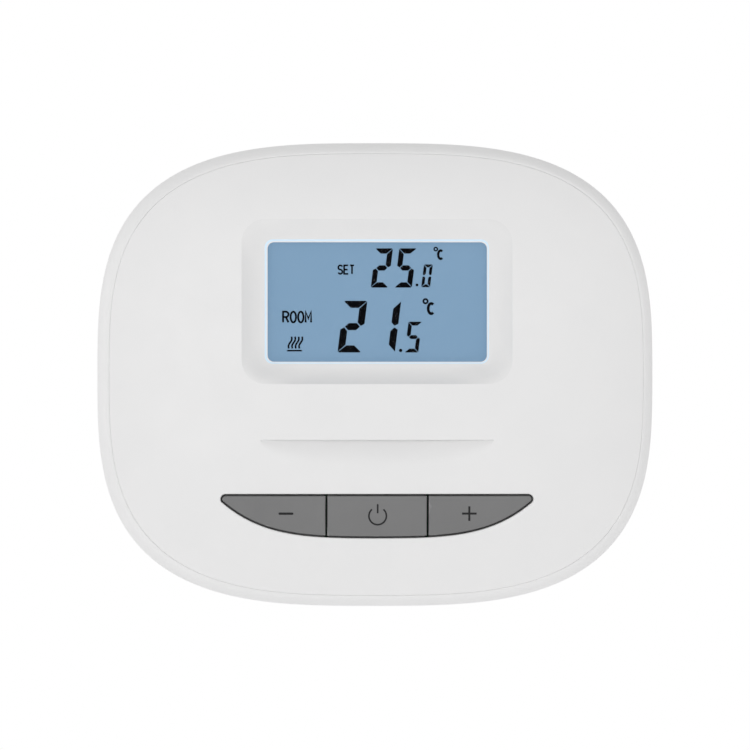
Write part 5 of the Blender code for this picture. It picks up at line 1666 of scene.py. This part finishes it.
FINISHES = {
    "lcd_front_polariser": PANEL_BLUE,
    "lcd_front_glass": GLASS_CLEAR,
    "lcd_rear_glass": GLASS_CLEAR,
    "lcd_rear_polariser": FILM,
    "backlight_reflector": FOIL,
    "backlight_guide": GUIDE,
    "backlight_led_1": MOULDING,
    "backlight_led_2": MOULDING,
    "upper_contact_strip": RUBBER,
    "lower_contact_strip": RUBBER,
    "display_frame": MOULDING,
    "circuit_board": BOARD,
    "terminal_block": TERMINAL,
    "relay": RELAY_BLUE,
    "crystal": NICKEL,
    "capacitor": SLEEVE,
    "thermistor": EPOXY,
    "battery_1": WRAP,
    "battery_2": WRAP,
    "battery_spring_1": NICKEL,
    "battery_spring_2": NICKEL,
    "positive_contact": NICKEL,
    "negative_contact": NICKEL,
    "bridge_contact": NICKEL,
}
for number in range(1, 5):
    FINISHES[f"board_screw_{number}"] = STEEL
    FINISHES[f"case_screw_{number}"] = STEEL
for number in range(1, 4):
    FINISHES[f"terminal_screw_{number}"] = STEEL
for key_name in ("minus", "power", "plus"):
    FINISHES[f"{key_name}_switch"] = EPOXY
    FINISHES[f"{key_name}_plunger"] = MOULDING
for node_name, surface in FINISHES.items():
    node_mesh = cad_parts[node_name].data
    node_mesh.materials.clear()
    node_mesh.materials.append(surface)


# Floor, light and camera.


def make_floor():
    def build(shape):
        bmesh.ops.create_grid(shape, x_segments=1, y_segments=1, size=0.5)
        bmesh.ops.scale(shape, vec=(3000, 3000, 1), verts=shape.verts)
        bmesh.ops.translate(shape, vec=(0, -400, -130), verts=shape.verts)

    surface = finish(
        "pale_floor", (0.86, 0.86, 0.86), (0.85, 0.85, 0.85), (0.5, 0.6), tone_scale=6.0, grain=300.0
    )
    glowing(surface, (1.0, 1.0, 1.0), 0.22)
    floor = from_shape("floor", build, [surface])


# Brightness of the studio dome from in front of the face, 0, past its sides, 0.5, to behind it, 1.
STUDIO_LEVELS = ((0.0, 2.3), (0.12, 0.65), (0.3, 1.1), (0.5, 0.96), (0.68, 1.42), (1.0, 0.9))
STUDIO_FLOOR_TO_CEILING = (1.1, 0.56)
STUDIO_LEFT_TO_RIGHT = (1.2, 0.86)


def make_world():
    """White to the camera, and a soft studio dome as light.

    The dome is brightest from in front, and dimmer from above than from below.
    """
    world = bpy.data.worlds.new("studio")
    world.use_nodes = True
    tree = world.node_tree
    tree.nodes.clear()
    direction = tree.nodes.new("ShaderNodeTexCoord").outputs["Generated"]
    split = tree.nodes.new("ShaderNodeSeparateXYZ")
    tree.links.new(direction, split.inputs["Vector"])
    around = tree.nodes.new("ShaderNodeValToRGB")
    tree.links.new(remapped(tree, split.outputs["Y"], -1.0, 1.0, 0.0, 1.0), around.inputs["Fac"])
    stops = around.color_ramp.elements
    for place, level in STUDIO_LEVELS[1:-1]:
        stops.new(place)
    for stop, (place, level) in zip(stops, STUDIO_LEVELS):
        stop.position = place
        stop.color = (level, level, level, 1.0)
    upward = remapped(tree, split.outputs["Z"], -1.0, 1.0, *STUDIO_FLOOR_TO_CEILING)
    sideways = remapped(tree, split.outputs["X"], -1.0, 1.0, *STUDIO_LEFT_TO_RIGHT)
    light = tree.nodes.new("ShaderNodeBackground")
    level = product(tree, product(tree, upward, sideways), around.outputs["Color"])
    tree.links.new(level, light.inputs["Strength"])
    light.inputs["Color"].default_value = (1.0, 1.0, 1.0, 1.0)
    seen = tree.nodes.new("ShaderNodeBackground")
    seen.inputs["Color"].default_value = (1.0, 1.0, 1.0, 1.0)
    mix = tree.nodes.new("ShaderNodeMixShader")
    tree.links.new(tree.nodes.new("ShaderNodeLightPath").outputs["Is Camera Ray"], mix.inputs["Fac"])
    tree.links.new(light.outputs["Background"], mix.inputs[1])
    tree.links.new(seen.outputs["Background"], mix.inputs[2])
    output = tree.nodes.new("ShaderNodeOutputWorld")
    tree.links.new(mix.outputs["Shader"], output.inputs["Surface"])
    bpy.context.scene.world = world


def add_softbox(name, place, aim, size, watts):
    light = bpy.data.lights.new(name, "AREA")
    light.shape = "RECTANGLE"
    light.size, light.size_y = size
    light.energy = watts
    lamp = linked(name, light)
    lamp.location = place
    lamp.rotation_euler = (Vector(aim) - Vector(place)).to_track_quat("-Z", "Y").to_euler()


def make_camera():
    data = bpy.data.cameras.new("camera")
    data.lens = 500
    data.sensor_width = 36
    data.clip_end = 20
    camera = linked("camera", data)
    turn = math.radians(-2.0)
    distance = 2.252
    aim = Vector((0.0, -WIDEST * MM, -0.0001))
    back = Vector((math.sin(turn), -math.cos(turn), 0))
    camera.location = aim + back * distance
    camera.rotation_euler = (-back).to_track_quat("-Z", "Y").to_euler()
    bpy.context.scene.camera = camera


make_floor()
make_world()
add_softbox("key_softbox", (-0.35, -1.6, 0.05), (0, 0, 0), (0.5, 0.3), 1.0)
make_camera()
bpy.context.scene.view_settings.view_transform = "Standard"
